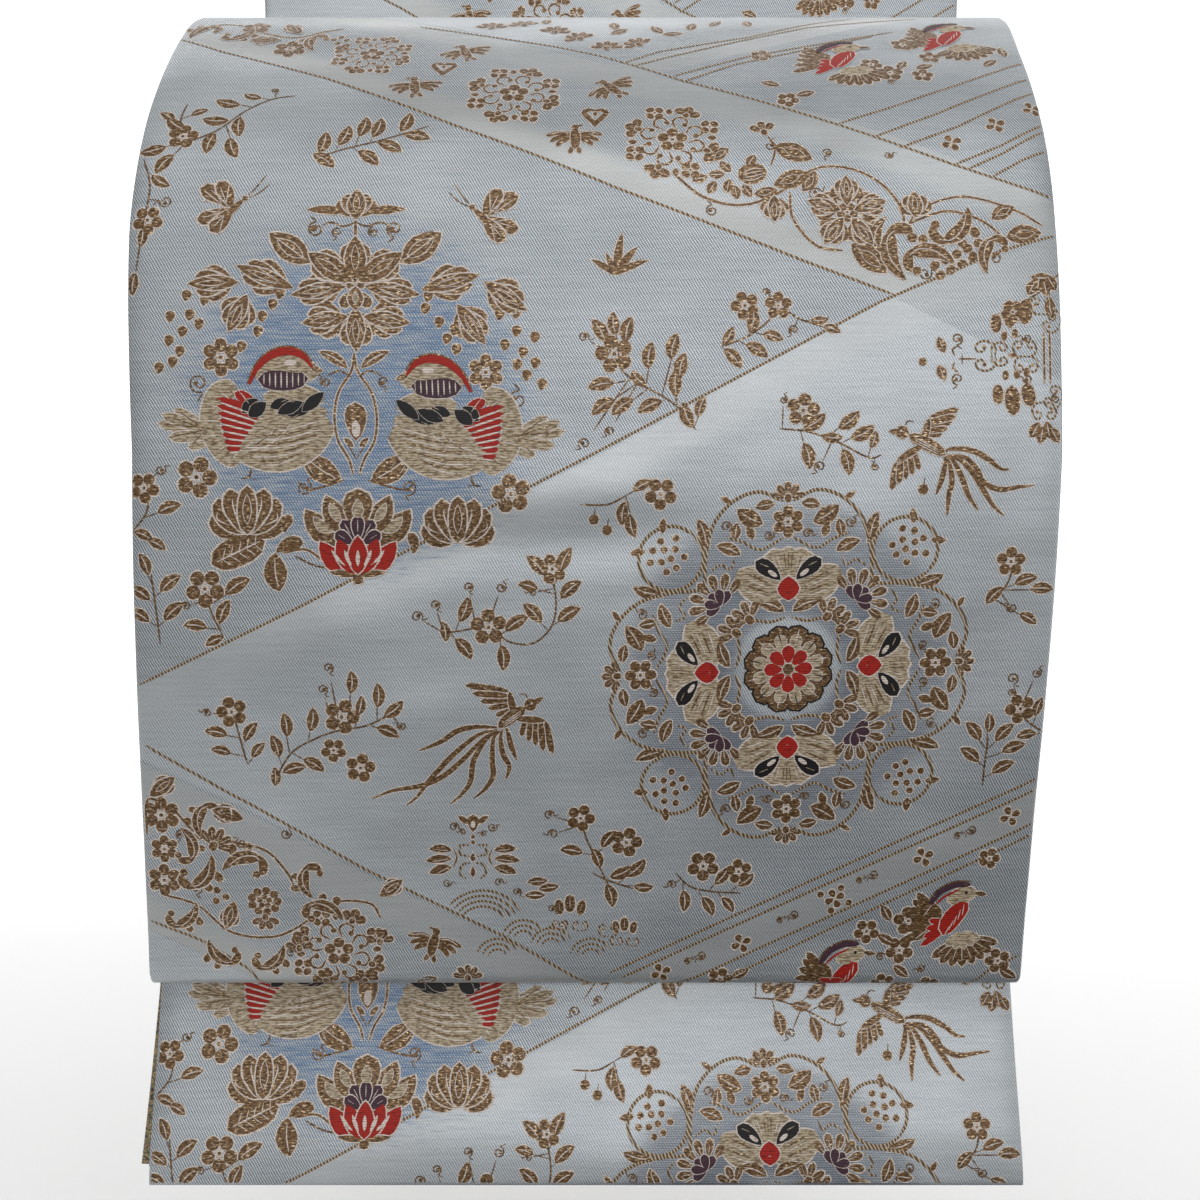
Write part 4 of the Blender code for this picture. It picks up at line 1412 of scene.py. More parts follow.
SOARING = Phoenix(
    (-9.6, 7.4), (-5.2, 4.8), (5.6, -3.3),
    ((2, 9.4), (17.2, 11.7), (14.6, 8.8), (11.9, 6), (9.2, 3.6), (6.6, 1)),
    ((-10.4, -0.8), (-13, -12.8), (-9.8, -11.6), (-7.2, -9.8), (-4.8, -8.2), (-2.2, -6.4)),
    (
        ((5.6, -3.3), (12.8, -3), (19.4, -4.4), (25, -8.3), (32.6, -11.7)),
        ((6, -4), (12.8, -6.1), (20.6, -12.8), (25.6, -18.3), (29.4, -22.8), (33.3, -28.3), (37, -31.4)),
        ((6, -4.6), (10.6, -7.2), (17.2, -14.4), (23.9, -20.6), (31.7, -24.4), (41.7, -26.1),
         (48.6, -28.9)),
        ((5.6, -4.6), (9.4, -7.2), (13.9, -15), (15, -22.8), (18.3, -27.8), (21.9, -31.1)),
        ((5, -4.6), (7.2, -7.2), (7.6, -15), (7.2, -20.6), (10, -25.6), (13.7, -28.9)),
        ((4.2, -4), (4.8, -7.2), (3.9, -12.8), (1.7, -17.2), (2.8, -21.9)),
        ((3, -3.4), (2.2, -5.6), (1.1, -10), (-0.8, -14.8)),
    ),
)
SETTLING = Phoenix(
    (-11.2, 4.6), (-6.7, 4.2), (7.5, -3.3),
    ((2.2, 8.8), (12.1, 11.9), (11.2, 9.6), (9.8, 7.6), (8.3, 5.6), (6.4, 3.6)),
    ((-8.6, -5.4), (-9.8, -14.8), (-7.6, -12.8), (-5.4, -11.2), (-3.2, -9.8), (-1, -8.2)),
    (
        ((7.5, -3), (8.6, -1.4), (15.8, -1.7), (21.7, -4.6), (25.8, -7.7), (29, -8)),
        ((8, -3.4), (14.2, -4.2), (18.3, -8.3), (20.4, -12.1), (25.8, -14.6), (32.5, -13.8), (37.5, -13.2)),
        ((8, -3.8), (12.5, -5), (17.5, -10), (20.8, -15), (24.2, -20), (27.9, -23.3)),
        ((7.6, -3.8), (10, -5), (13.3, -10.8), (15.8, -16.7), (19.2, -21.5)),
        ((7.4, -4), (8.8, -5.8), (10, -11.7), (9.2, -16.7), (9, -23.2)),
        ((7, -4), (7.5, -5.8), (6.7, -10.8), (5, -16.3)),
    ),
)


def butterfly(pen: Brush) -> None:
    """A butterfly seen from the side, its head up and to the right, about its body."""
    for x, y, half, bend, level in ((-10.4, 8.4, 3, -1, 1), (-4.6, 10.8, 2.6, -0.6, 2),
                                    (-10.6, -3.4, 2.6, 0.8, 1), (-6, -7.6, 2.6, 0.6, 2)):
        pen.figure(0.8, 0.9, x, y, half, leaf=PETAL, bend=bend, level=level, edge=0.5)
        for k in (-0.28, 0, 0.28):
            pen.line([(0.25 * x, 0.25 * y), (0.82 * x - k * y, 0.82 * y + k * x)], 0.2, PALE, level + 1)
    pen.figure(-3, -4, 4.6, 4, 1.1, leaf=OVAL, level=2, edge=0.3)
    pen.dot(5, 4.4, level=2)
    pen.line([(5.4, 5), (8, 8), (11.5, 13.5)], 0.24)
    pen.line([(5.6, 4.4), (9.5, 6.4), (13, 10)], 0.24)


def red_bird(pen: Brush) -> None:
    """A bird of the striped field, facing right with a purple crest, red neck and a spread tail below."""
    for i in range(6):
        pen.figure(-6, -6 + 0.6 * i, -24 + 2 * i, -12 + 5.2 * i - 0.3 * i * i, 1.6, leaf=FEATHER,
                   bend=0.9)
    for i in range(4):
        pen.figure(-3, -7, -16 + 1.6 * i, -15 + 3.2 * i, 1.25, RED, FEATHER, 0.8, 2, 0.25)
    for i in range(8):
        c, s = direction(-148 + 17 * i)
        pen.figure(3 * c, -14 + 3 * s, 14.5 * c, -14 + 12.5 * s, 1.7, leaf=PETAL)
        pen.line([(6 * c, -14 + 5 * s), (12 * c, -14 + 10.2 * s)], 0.18, PALE, 2)
    for i in range(5):
        c, s = direction(-138 + 24 * i)
        pen.figure(c, -12 + s, 8.4 * c, -12 + 7.4 * s, 1.35, CREAM, PETAL, level=2, edge=0.3)
    pen.figure(-7, -12.5, 4, -1.5, 3.5, RED, OVAL, 1.2, 3, 0.4)
    for i in range(5):
        pen.line([(-6.4 + 1.9 * i, -12.4 + 1.6 * i), (-4 + 1.6 * i, -9.4 + 1.9 * i)], 0.24, PALE, 4)
    pen.figure(-3.6, 0.4, 7.6, 2.4, 3.2, CREAM, OVAL, 0.6, 3, 0.4)
    pen.figure(6.8, 2, 11.2, 0.4, 0.95, level=3, edge=0.3)
    pen.dot(3.8, 2.7, 0.6, BLACK, 4, 0)
    pen.line([(-10, 1), (-6, 4.8), (0, 6.6), (5.8, 5.6)], 1.15, PURPLE, 3)
    pen.line([(-10.6, 1.8), (-6.6, 6), (0, 8), (6.4, 6.8)], level=3)
    pen.line([(-8, 0.4), (-4, 3), (1.6, 4.6)], 0.4, RED, 4)


def small_bird(pen: Brush) -> None:
    """A little bird with both wings spread, its head up, about its breast."""
    for side in (-1, 1):
        pen.figure(0, -2.6, side * 1.9, -7.2, 0.8, leaf=FEATHER, edge=0.25)
        for i, (x, y) in enumerate(((9.8, 0.6), (8.4, -2), (6.2, -4))):
            pen.figure(side * 0.6, 1.6 - 1.1 * i, side * x, y, 0.95, leaf=FEATHER, bend=side * 0.9,
                       edge=0.25)
        pen.line([(side * 1.4, 2), (side * 5, 2.5), (side * 8.4, 1.2)], 0.18, PALE, 2)
    pen.figure(0, -5.4, 0, 4.2, 1.7, leaf=OVAL, bend=0.3, level=2, edge=0.3)
    pen.dot(-0.3, 4.6, 1.35, level=2)
    pen.figure(-0.9, 5.2, -3.2, 5.8, 0.45, level=2, edge=0.2)


class Karahana:
    """A round of stylised flowers and scrolling vines, about its middle, in four like quarters."""

    def heart(self, pen: Brush) -> None:
        """The scalloped flower in the middle: black edge, gold and cream scallops, red petals."""
        for i in pen.around(12, 15):
            pen.figure(6, 0, 15.6, 0, 4, BLACK, PETAL, edge=0)
            pen.figure(6, 0, 15, 0, 3.5, leaf=PETAL, level=2, edge=0)
            pen.figure(7.6, 0, 12, 0, 1.9, CREAM, OVAL, level=3, edge=0.25)
            pen.line([(9, 0), (14, 0)], 0.24, BLACK if i % 2 else PALE, 4)
        pen.dot(0, 0, 8.4, CREAM, 3)
        for _ in pen.around(8, 90):
            pen.figure(1.9, 0, 8.2, 0, 2.15, RED, PETAL, level=4, edge=0.25)
        pen.dot(0, 0, 1.9, level=5)

    def face(self, pen: Brush) -> None:
        """One of the four inner flowers: cream lobes, two black eyes and a red diamond."""
        for x in (-1, 1):
            pen.line([(x, 17.8), (x * 6, 16.4), (x * 11.5, 17.4), (x * 14.4, 20.6)], 0.5, CORD)
            pen.fan(x * 12.8, 17.2, 7, 90 - x * 42, 4, 120, 0.15, width=0.52)
            pen.leaf(x * 6.2, 21.4, 90 - x * 70, 10, 2.2, x)
            pen.line([(x * 0.8, 26.6), (x * 9, 28.8), (x * 17.4, 33)], 6, CREAM, edge=0.7, ribbon=True)
            for k in range(4):
                pen.line([(x * 6.4, 24.6 + 1.6 * k), (x * (14.8 - 0.5 * k), 27.2 + 1.9 * k)],
                         0.3 if k % 2 else 0.2, GOLD if k % 2 else PALE, 3)
        for x in (-5, 5, 0):
            pen.figure(0.4 * x, 29, x, 41.2 - 0.1 * abs(x), 4.4, CREAM, PETAL, level=2, edge=0.6)
        for k in (-5.6, -4, -1.4, 0, 1.4, 4, 5.6):
            pen.line([(0.6 * k, 34), (k, 39.6 - 0.03 * k * k)], 0.2, GOLD if abs(k) < 3 else PALE, 3)
        for x in (-1, 1):
            pen.figure(x * 2.6, 30.4, x * 11, 37, 2.6, BLACK, PETAL, x * 0.4, 3, 0.45)
            pen.figure(x * 3.8, 31.6, x * 6.8, 33.8, 0.75, PALE, OVAL, level=4, edge=0)
            pen.line([(x * 6.6, 35), (x * 9.4, 36.2)], 0.22, CREAM, 4)
        pen.figure(0, 23.4, 0, 31.6, 3.7, RED, level=4, edge=0.5)
        pen.dot(0, 26.6, 0.55, PALE, 4, 0)

    def half_flower(self, pen: Brush) -> None:
        """A fan of gold petals on a purple base, on the diagonal."""
        with pen.at(0, 32, 90):
            pen.fan(0, 0, 10.8, 0, 7, 165, base=False, start=0.44, width=0.55)
            for k in pen.around(5, -76, 38):
                pen.figure(0, 0, 5.6, 0, 1.5, PURPLE, PETAL, level=2 + k % 2, edge=0.28)

    def lobe(self, pen: Brush) -> None:
        """The outer vine over one side, with its flower, leaves, tendrils and top ornament."""
        for x in (-1, 1):
            pen.line([(x * 28, 28.6), (x * 27.4, 40), (x * 24.4, 50.5), (x * 17.6, 57.6), (x * 9.4, 60),
                      (x * 1.6, 56.6)], 0.6, CORD)
            pen.line([(x * 20.4, 45.4), (x * 15, 43.6), (x * 9.2, 40.8), (x * 1.6, 44.6)], 0.45, CORD)
            pen.line([(x * 26, 34), (x * 22.6, 36.4), (x * 19.4, 34.4), (x * 18, 38)], 0.4, CORD)
            pen.leaf(x * 7.6, 55.2, 90 - x * 100, 6.4, 1.8, x * 0.4)
            pen.leaf(x * 17.4, 47.2, 90 + x * 10, 6, 1.7)
            pen.curl(x * 6.4, 45.6, 1.9, 90 + x * 60, x < 0)
            pen.leaf(x * 12.6, 52, 90 - x * 58, 10, 2.9, -x * 0.6)
            pen.leaf(x * 12.8, 46.6, 90 - x * 20, 5, 1.4, x * 0.3, veined=False)
            pen.leaf(x * 20, 41, 90 - x * 68, 8.6, 2.1, x * 0.6)
            pen.curl(x * 20.6, 49, 2.1, 90 - x * 30, x > 0)
            pen.figure(x * 18.8, 56.6, x * 22.2, 58.8, 0.9)
            pen.figure(x * 26.2, 42, x * 29, 45, 0.9)
        pen.bloom(0, 49.8, 5.4, 6, 90)
        pen.fan(0, 57.4, 5.6, 90, 5, 150)

    def berry_round(self, pen: Brush) -> None:
        """A ring of vine round a cluster of berries, on the diagonal, with a leaf to each side."""
        with pen.at(0, 55.2):
            pen.line(ring(0, 0, 10.8), 0.6, CORD)
            for x, y in ((0, 0), (3.2, 1.2), (-3, 1.6), (0.6, 3.8), (-1, -3.4), (3.4, -2.8), (-4.2, -2),
                         (6, 3.6), (-5.6, 4.2), (1.8, 6.6), (-2.2, 6.4)):
                pen.dot(x, y, 1.15)
            for x in (-1, 1):
                pen.leaf(x * 13.2, -1.6, 90 - x * 28, 9.6, 2.1, -x * 0.6)
                pen.leaf(x * 6, 9.6, 90 - x * 50, 5, 1.3, veined=False)

    def draw(self, pen: Brush) -> None:
        """Draws four quarters and the heart."""
        for quarter in range(4):
            with pen.at(0, 0, 90 * quarter):
                self.lobe(pen)
                self.face(pen)
            with pen.at(0, 0, 45 + 90 * quarter):
                self.half_flower(pen)
                self.berry_round(pen)
        self.heart(pen)


class DuckGarden:
    """The pair of ducks on blue water, under a peony spray and over a lotus."""

    def peony(self, pen: Brush) -> None:
        """The crown, the open peony and the lobed leaves that hang beside it."""
        with pen.at(-78.6, 281):
            for x in (-1, 1):
                pen.figure(x * 3, -2.4, x * 16.6, -1.4, 1.6, bend=x * 0.4)
                pen.line([(0, -6), (x * 4, -7.4), (x * 8, -6), (x * 11, -7)], 0.34)
                pen.curl(x * 13, -8.4, 2.9, -90, x > 0, 1.2, 0.34, 1.2)
                pen.curl(x * 6, -9.4, 2, -90, x < 0)
            pen.lobed(0, -5, 90, 11, 15)
            pen.line([(0, -4), (0, -13)], 0.5, edge=0.3)
        with pen.at(-78.6, 254.5):
            for x in (-1, 1):
                pen.lobed(x * 3, -1.5, 90 - x * 99, 18.6, 12)
                pen.lobed(x, 0, 90 - x * 56, 17.6, 12, 3)
            pen.lobed(0, 0, 90, 15.6, 12, 3)
            for x in (-1, 1):
                pen.lobed(x * 2.6, -11.6, 90 - x * 98, 15.4, 12.6)
                pen.figure(x * 0.6, -3, x * 4.8, -8.4, 1.9, leaf=PETAL, edge=0.5)
            pen.lobed(0, -8.6, -90, 14.6, 15)
            pen.figure(0, -9.4, 0, -1.6, 2.6, level=4, edge=0.5)
            pen.figure(0, -7.2, 0, -3.4, 0.9, CREAM, level=5, edge=0.25)
            pen.bloom(0, 0, 3.4, 6)
        for x, y, turn, long in ((-93.6, 261, 143, 17), (-63.6, 261, 37, 17)):
            with pen.at(x, y, turn):
                pen.figure(0, 0, long, 0, 4.4, edge=0.6)
                pen.figure(3, 0, long - 3.4, 0, 2.1, level=2, edge=0.35)
                pen.line([(1, 0), (long - 2, 0)], 0.22, PALE, 3)
        for x, y, turn, long in ((-99.1, 252.4, 158, 20.5), (-117.2, 254.5, 182, 17),
                                 (-114.4, 250.3, 242, 14), (-56.8, 251.7, 15, 20), (-36, 254.5, -35, 17),
                                 (-45, 246.9, -56, 16)):
            pen.lobed(x, y, turn, long, 12.5)

    def berries(self, pen: Brush) -> None:
        """Strings of berries beside both ducks."""
        for x, y in ((-134.5, 250), (-128.5, 248.5), (-140, 243), (-133.5, 243.5), (-130.5, 240.5),
                     (-136, 238), (-140.5, 235), (-137, 231.5), (-139.5, 228), (-144, 226), (-115.5, 240.5),
                     (-109.5, 243), (-106, 247), (-111, 238), (-116.5, 233), (-103.5, 250.5), (-31, 243.5),
                     (-25.5, 244), (-25.5, 238), (-19.5, 236), (-29.5, 233.5), (-23.5, 231), (-25.5, 227),
                     (-19.5, 227.5), (-22.5, 223.5), (-17.5, 220.5), (-54.5, 249.5), (-55.5, 245.5),
                     (-51, 241), (-46, 238.5), (-48.5, 235.5), (-45.5, 232)):
            pen.figure(x - 0.5, y - 1.9, x + 0.3, y + 1.9, 1.6, leaf=PETAL, edge=0.35)

    def ornament(self, pen: Brush) -> None:
        """The slender frame between the ducks, with a bud inside and leaves over and under it."""
        with pen.at(-79.4, 208):
            for x in (-1, 1):
                pen.line([(0, 23), (x, 17), (x * 5.4, 10), (x * 7, 2), (x * 6, -6), (x * 2.6, -12), (x, -17)],
                         0.4, edge=0.3)
                pen.line([(x, 15), (x * 5, 17), (x * 9, 15.4)], 0.32)
                pen.curl(x * 9.6, 13.6, 2, -60, x > 0)
                pen.leaf(x * 7, 20.6, 90 - x * 60, 11, 1.7, x * 0.8)
                pen.line([(0, -12), (x * 3, -7)])
                pen.figure(x, -8, x * 4, -5, 0.9)
                pen.leaf(x * 11.4, -14.8, 90 + x * 124 - 180, 16, 4, -x * 0.8)
                for k in (-3, 0, 3):
                    pen.line([(x * (11.4 - k), -14.8 + 0.7 * k), (x * (13.2 - k), -12.6 + 0.5 * k)], 0.2,
                             PALE, 2)
                pen.line([(x * 4, -19), (x * 12, -21.4), (x * 17, -22), (x * 19.6, -19)], 0.34)
                pen.curl(x * 17.4, -21.4, 2.8, 70, x < 0)
            pen.figure(0, -6, 0, 6.6, 3.6, leaf=PETAL)
            pen.figure(0, -5, 0, 0.8, 1.4, PALE, OVAL, level=2, edge=0)

    def lotus(self, pen: Brush) -> None:
        """The red and gold lotus at the foot, with its leaf pads."""
        with pen.at(-78.8, 166):
            for x in (-1, 1):
                pen.figure(x * 5, 2, x * 17.4, 13.4, 4.2, bend=-x * 1.4, edge=0.6)
                pen.figure(x * 8.4, 6, x * 14.6, 11, 1.7, CREAM, bend=-x * 0.8, level=2, edge=0.3)
                pen.figure(x * 3, 5, x * 10.6, 18, 3.9, bend=-x * 0.8, level=2, edge=0.6)
                pen.figure(x * 5.6, 9.4, x * 9.2, 15.4, 1.4, CREAM, bend=-x * 0.4, level=3, edge=0.3)
            pen.figure(0, 6, 0, 20.2, 4.8, leaf=PETAL, level=3, edge=0.6)
            pen.figure(0, 10, 0, 16.6, 1.8, CREAM, level=4, edge=0.3)
            for turn, reach, level in ((32, 8.8, 4), (148, 8.8, 4), (60, 10.2, 3), (120, 10.2, 3),
                                       (90, 10.4, 4)):
                with pen.at(0, 1, turn):
                    pen.figure(2, 0, reach, 0, 2.1, PURPLE, PETAL, level=level, edge=0.4)
                    pen.line([(5, 0), (reach - 1.4, 0)], 0.2, PALE, level + 1)
            for x, y, half, level in ((-12.6, 2.8, 3.5, 3), (12.6, 2.8, 3.5, 3), (-6.4, 4, 3, 4),
                                      (6.4, 4, 3, 4), (0, 4.6, 3.3, 5)):
                pen.figure(0.16 * x, -8.2, x, y, half, RED, bend=-0.08 * x, level=level, edge=0.5)
                pen.figure(0.3 * x, -5.6, 0.7 * x, 0, 0.75, PALE, bend=-0.03 * x, level=level + 1, edge=0)
            for x in (-1, 1):
                pen.figure(0, -8.6, x * 9.6, -7.4, 1.1, level=4)
            pen.figure(0, -7.4, 0, -11.6, 1.8, leaf=PETAL, level=4)

    def buds(self, pen: Brush) -> None:
        """The closed lotus flowers and the small ones round them."""
        for x, y, size in ((-115.6, 179.6, 1), (-45.6, 176.4, 0.96)):
            with pen.at(x, y, size=size):
                for reach, lift, half, level in ((11.8, -2.4, 2.6, 1), (9.6, 3.4, 3.1, 2),
                                                 (5.6, 6.6, 3.1, 3)):
                    for x1 in (-reach, reach):
                        pen.figure(0.12 * x1, -8.2, x1, lift, half, leaf=PETAL, bend=-0.2 * x1, level=level,
                                   edge=0.55)
                        pen.line([(0.46 * x1, -5.6), (0.84 * x1, -2.4 + 0.5 * lift), (0.84 * x1, 0.5 * lift)],
                                 0.26, PALE, level + 1)
                pen.figure(0, -8.4, 0, 7.6, 3.1, leaf=OVAL, level=4, edge=0.55)
                pen.figure(0, -5, 0, 4.6, 1.3, level=5, edge=0.35)
        pen.bloom(-132.5, 190, 7, 5, 70)
        pen.bloom(-28, 184.5, 6.6, 5, 100)
        pen.bloom(-123.5, 229.5, 6.4, 6, 90)
        pen.bloom(-36, 224.5, 6, 6, 90)
        pen.curl(-131, 221, 3.4, -70, True, 1.3)
        pen.curl(-25.5, 215.5, 3.2, -100, False, 1.2)
        with pen.at(-118.5, 165, 24):
            pen.figure(-10, 0, 9.5, 0, 5, leaf=OVAL, bend=0.6, edge=0.6)
            for k in range(5):
                pen.line([(-6 + 3 * k, 0), (-3.4 + 2.8 * k, 3.2)], 0.22, PALE, 2)
                pen.line([(-6 + 3 * k, 0), (-3.6 + 2.8 * k, -3)], 0.22, PALE, 2)
            pen.line([(-8, 0.2), (8, 0.6)], 0.28, PALE, 2)
        pen.leaf(-105.6, 158.5, 96, 13, 4, 0.8)
        pen.figure(-106, 165, -97, 168, 2.4, leaf=PETAL, bend=1.4)
        pen.figure(-103, 171.5, -100.5, 177, 1.8, leaf=PETAL, bend=1.2)
        pen.line([(-104, 165), (-96, 166), (-90, 162), (-86, 160)], 0.4, edge=0.3)
        pen.line([(-100, 164), (-94, 161), (-88, 159.6)], 0.34)
        pen.figure(-60.5, 164.5, -62, 171.5, 1.7, leaf=PETAL, bend=-1.2)

    def draw(self, pen: Brush) -> None:
        """Draws the whole garden."""
        self.peony(pen)
        self.berries(pen)
        self.ornament(pen)
        self.lotus(pen)
        self.buds(pen)
        with pen.at(-104.6, 205.6):
            Mandarin().draw(pen)
        with pen.at(-50.9, 203, flip=True):
            Mandarin().draw(pen)


# ---------------------------------------------------------------- the woven pattern
Row = tuple[float, ...]


def heading(way: complex) -> float:
    """Direction of a step on the plan, in degrees."""
    return math.degrees(math.atan2(way.imag, way.real))


@dataclass(frozen=True)
class Spray:
    """One spray of leaves and flowers.

    Attributes:
        stem: its places, from the foot.
        leaves: middle of each leaf, with its length where it isn't size.
        blooms: middle and radius of each flower.
        curls: eye and radius of each tendril.
        size: length of a leaf.
    """

    stem: Run
    leaves: Sequence[Row] = ()
    blooms: Sequence[Row] = ()
    curls: Sequence[Row] = ()
    size: float = 9.0

    def draw(self, pen: Brush) -> None:
        """Draws the stem, then joins each leaf, flower and tendril to it. A leaf leans forward along it."""
        pen.line(self.stem, 0.32)
        dense = through(np.array([complex(*place) for place in self.stem]), 1)
        for x, y, *rest in self.leaves:
            length = rest[0] if rest else self.size
            middle = complex(x, y)
            near = int(np.argmin(np.abs(dense - middle)))
            foot = dense[max(0, near - 4)]
            way = middle - foot
            if abs(way) < 1:
                way = dense[-1] - dense[-3]
            start = middle - way / abs(way) * length * 0.42
            if abs(way) > 0.5 * length:
                pen.line([(foot.real, foot.imag), (start.real, start.imag)], 0.26)
            side = 1 if (way.conjugate() * (dense[-1] - foot)).imag > 0 else -1
            pen.leaf(x, y, heading(way), length, bend=0.08 * length * side)
        for x, y, radius in self.blooms:
            pen.bloom(x, y, radius, turn=90 + 11 * (x + y))
        for x, y, radius in self.curls:
            foot = dense[int(np.argmin(np.abs(dense - complex(x, y))))]
            way = complex(x, y) - foot
            pen.curl(x, y, radius, heading(way), (x > foot.real) == (y > foot.imag))
            pen.line([(foot.real, foot.imag), (x - way.real * 0.2, y - way.imag * 0.2)], 0.26)


SPRAYS: tuple[Spray, ...] = (
    # the upper left field
    Spray(((-104, 330), (-112, 328), (-120, 322), (-129, 312), (-142, 305)), ((-127, 326.5), (-119, 330, 7),
          (-130, 317.5), (-121, 314), (-130, 306.5), (-122, 304.5), (-143, 315.5), (-149.5, 304),
          (-144.5, 297.5)), ((-140, 309.5, 5.4),), ((-112, 333, 1.6),), 9.5),
    Spray(((-140, 308), (-142, 318), (-141, 326)), ((-147, 319, 7), (-136, 321, 6.5))),
    Spray(((-93, 300), (-84, 303.5), (-74, 306.5), (-62, 311), (-56, 313.5)), ((-92, 306.5), (-85, 309.5),
          (-91, 298.5), (-79, 313.5), (-74, 313), (-64.5, 315.5), (-69, 304), (-76, 299.5), (-60, 308.5)),
          (), (), 9.5),
    Spray(((-152, 300), (-148.5, 289), (-149, 278), (-151, 262)), ((-145, 291), (-150, 270, 7),
          (-152, 254, 8)), ((-148, 276, 5.2),), ((-142.5, 283, 2.4),), 8),
    # between the upper band and the long diagonal
    Spray(((42, 233), (50, 236), (56, 240), (62, 245), (68, 242), (73, 240.5)), ((45.5, 229),
          (44, 236.5, 7), (52, 241.5), (53.5, 231.5), (59, 236, 7), (74.5, 242, 6), (78.5, 238.5, 6)),
          ((50, 246.5, 4.8), (61, 246.5, 4.6)), ((66, 238.5, 1.9), (57, 251, 1.6)), 8.5),
    Spray(((33, 205.5), (26, 214), (17, 219.5), (10, 224), (6.5, 230)), ((30.5, 210.5), (18.5, 230),
          (26.5, 233), (29, 226.5), (14.5, 222.5, 7), (27, 221), (18, 213), (35, 213, 7), (2, 220),
          (2.5, 213), (9, 213), (1.5, 238), (11.5, 238.5), (7, 240.5, 8)), ((6.5, 230.5, 6.4),),
          ((-3.5, 236, 2), (-4, 201, 2.2), (4.5, 205, 1.9))),
    Spray(((155, 258), (148.5, 252), (140, 246)), ((148.5, 256.5, 7), (151.5, 246, 7)),
          ((138.5, 244.5, 4),)),
    # the lower left edge of that field
    Spray(((-154, 172), (-149, 179), (-149, 188)), ((-141.5, 179.5), (-150.5, 170.5, 7), (-146, 167.5, 7)),
          ((-150, 186.5, 5.2),), ((-144.5, 192.5, 2),), 8.5),
    Spray(((-145.5, 134), (-146.5, 145), (-148, 158)), ((-150.5, 161, 8), (-141.5, 154.5), (-152, 151, 8),
          (-140.5, 145), (-152.5, 143.5, 8))),
    Spray(((-124, 136.5), (-128, 145), (-130, 152)), ((-119, 153.5, 10), (-123.5, 145), (-133.5, 140, 8),
          (-127, 135, 7)), ((-130, 153, 6.6),), ((-136.5, 147, 1.8),)),
    # the middle field
    Spray(((-50, 138), (-43, 139), (-35, 140), (-28, 135), (-20, 134.5), (-14, 140), (-12.5, 148),
          (-14, 158)), ((-50, 138.5, 7), (-43.5, 132.5), (-43.5, 146), (-25.5, 141), (-30.5, 129.5),
          (-20.5, 144.5), (-8, 144), (-7.5, 152.5), (-19.5, 160.5), (-9.5, 162.5), (-22, 153.5, 7)),
          ((-35, 140, 6.2), (-14, 159.5, 5)), ((-59, 143.5, 2.2), (-53, 147.5, 1.9), (-31, 153.5, 2.1),
          (-42, 153.5, 1.9), (-20.5, 151.5, 1.6))),
    Spray(((-117, 92), (-119, 100), (-121.5, 110)), ((-127.5, 103), (-115.5, 103.5), (-126, 96.5, 7),
          (-113, 97, 7)), ((-122, 110.5, 5.4),), ((-130.5, 110, 1.8),), 8),
    Spray(((-108, 86), (-102, 96), (-94, 101), (-86, 104), (-76, 106), (-68, 110)), ((-81.5, 121, 8),
          (-72.5, 116.5), (-67, 112), (-69, 103.5), (-95, 108), (-104, 106), (-107.5, 98.5), (-94.5, 91.5),
          (-101, 90), (-108, 87.5, 7), (-78.5, 113, 7)), ((-84.5, 109, 6.2), (-78.5, 90.5, 5.2),
          (-87.5, 97, 4.4)), ((-89, 126, 2), (-91, 118.5, 2), (-64, 106, 1.8)), 8.5),
    Spray(((10, 184), (4, 181), (-5, 181)), ((9.5, 178), (15.5, 187, 7), (12.5, 174, 8)),
          ((21.5, 184.5, 5.4),), (), 8),
    Spray(((60.5, 206), (70, 205), (80, 201.5), (90, 196.5), (94.5, 197.5)), ((72, 208.5), (78, 203.5, 7),
          (83.5, 209), (88, 205), (69.5, 197), (82.5, 195), (91.5, 202.5, 6)), ((68.5, 212, 5.6),),
          ((74, 193.5, 2.1), (92.5, 193.5, 1.5), (62, 215.5, 1.6))),
    Spray(((133, 149), (138, 154), (140, 161)), ((134.5, 150.5), (144.5, 155.5), (150, 152.5),
          (146, 142.5, 7)), ((139, 162, 5),), ((140.5, 146.5, 2),), 8),
    Spray(((135.5, 84), (135.5, 92), (136, 101)), ((130.5, 103.5), (141.5, 103), (130, 95), (145, 97.5),
          (142, 90.5), (135.5, 106.5, 7)), (), (), 8.5),
    Spray(((155, 103), (149, 107), (146, 111)), ((152.5, 112, 7), (149, 102, 7)), ((146, 111.5, 5.2),),
          ((142.5, 122, 2.2), (150.5, 124, 2), (142.5, 117, 1.6))),
    # over the striped field at the lower right
    Spray(((8, 47), (4, 55), (0, 64), (-2, 70)), ((3, 57.5), (7.5, 64.5), (-5.5, 60, 8)),
          ((-2.5, 72.5, 5),), ((-13.5, 73.5, 2), (-12, 66.5, 2)), 8),
    Spray(((2, 52), (8, 49), (16.5, 46)), ((12, 52.5), (17, 54), (8, 43.5), (20, 47, 7)),
          ((13.5, 63.5, 5.6),)),
    Spray(((31, 52), (36, 47), (44, 45), (54, 44.5)), ((47, 51), (34, 41.5), (42.5, 39.5), (49.5, 40, 7),
          (55.5, 49.5, 7)), ((40.5, 54.5, 5.6), (53, 52.5, 4.6)), ((30, 47.5, 1.9),), 8),
)


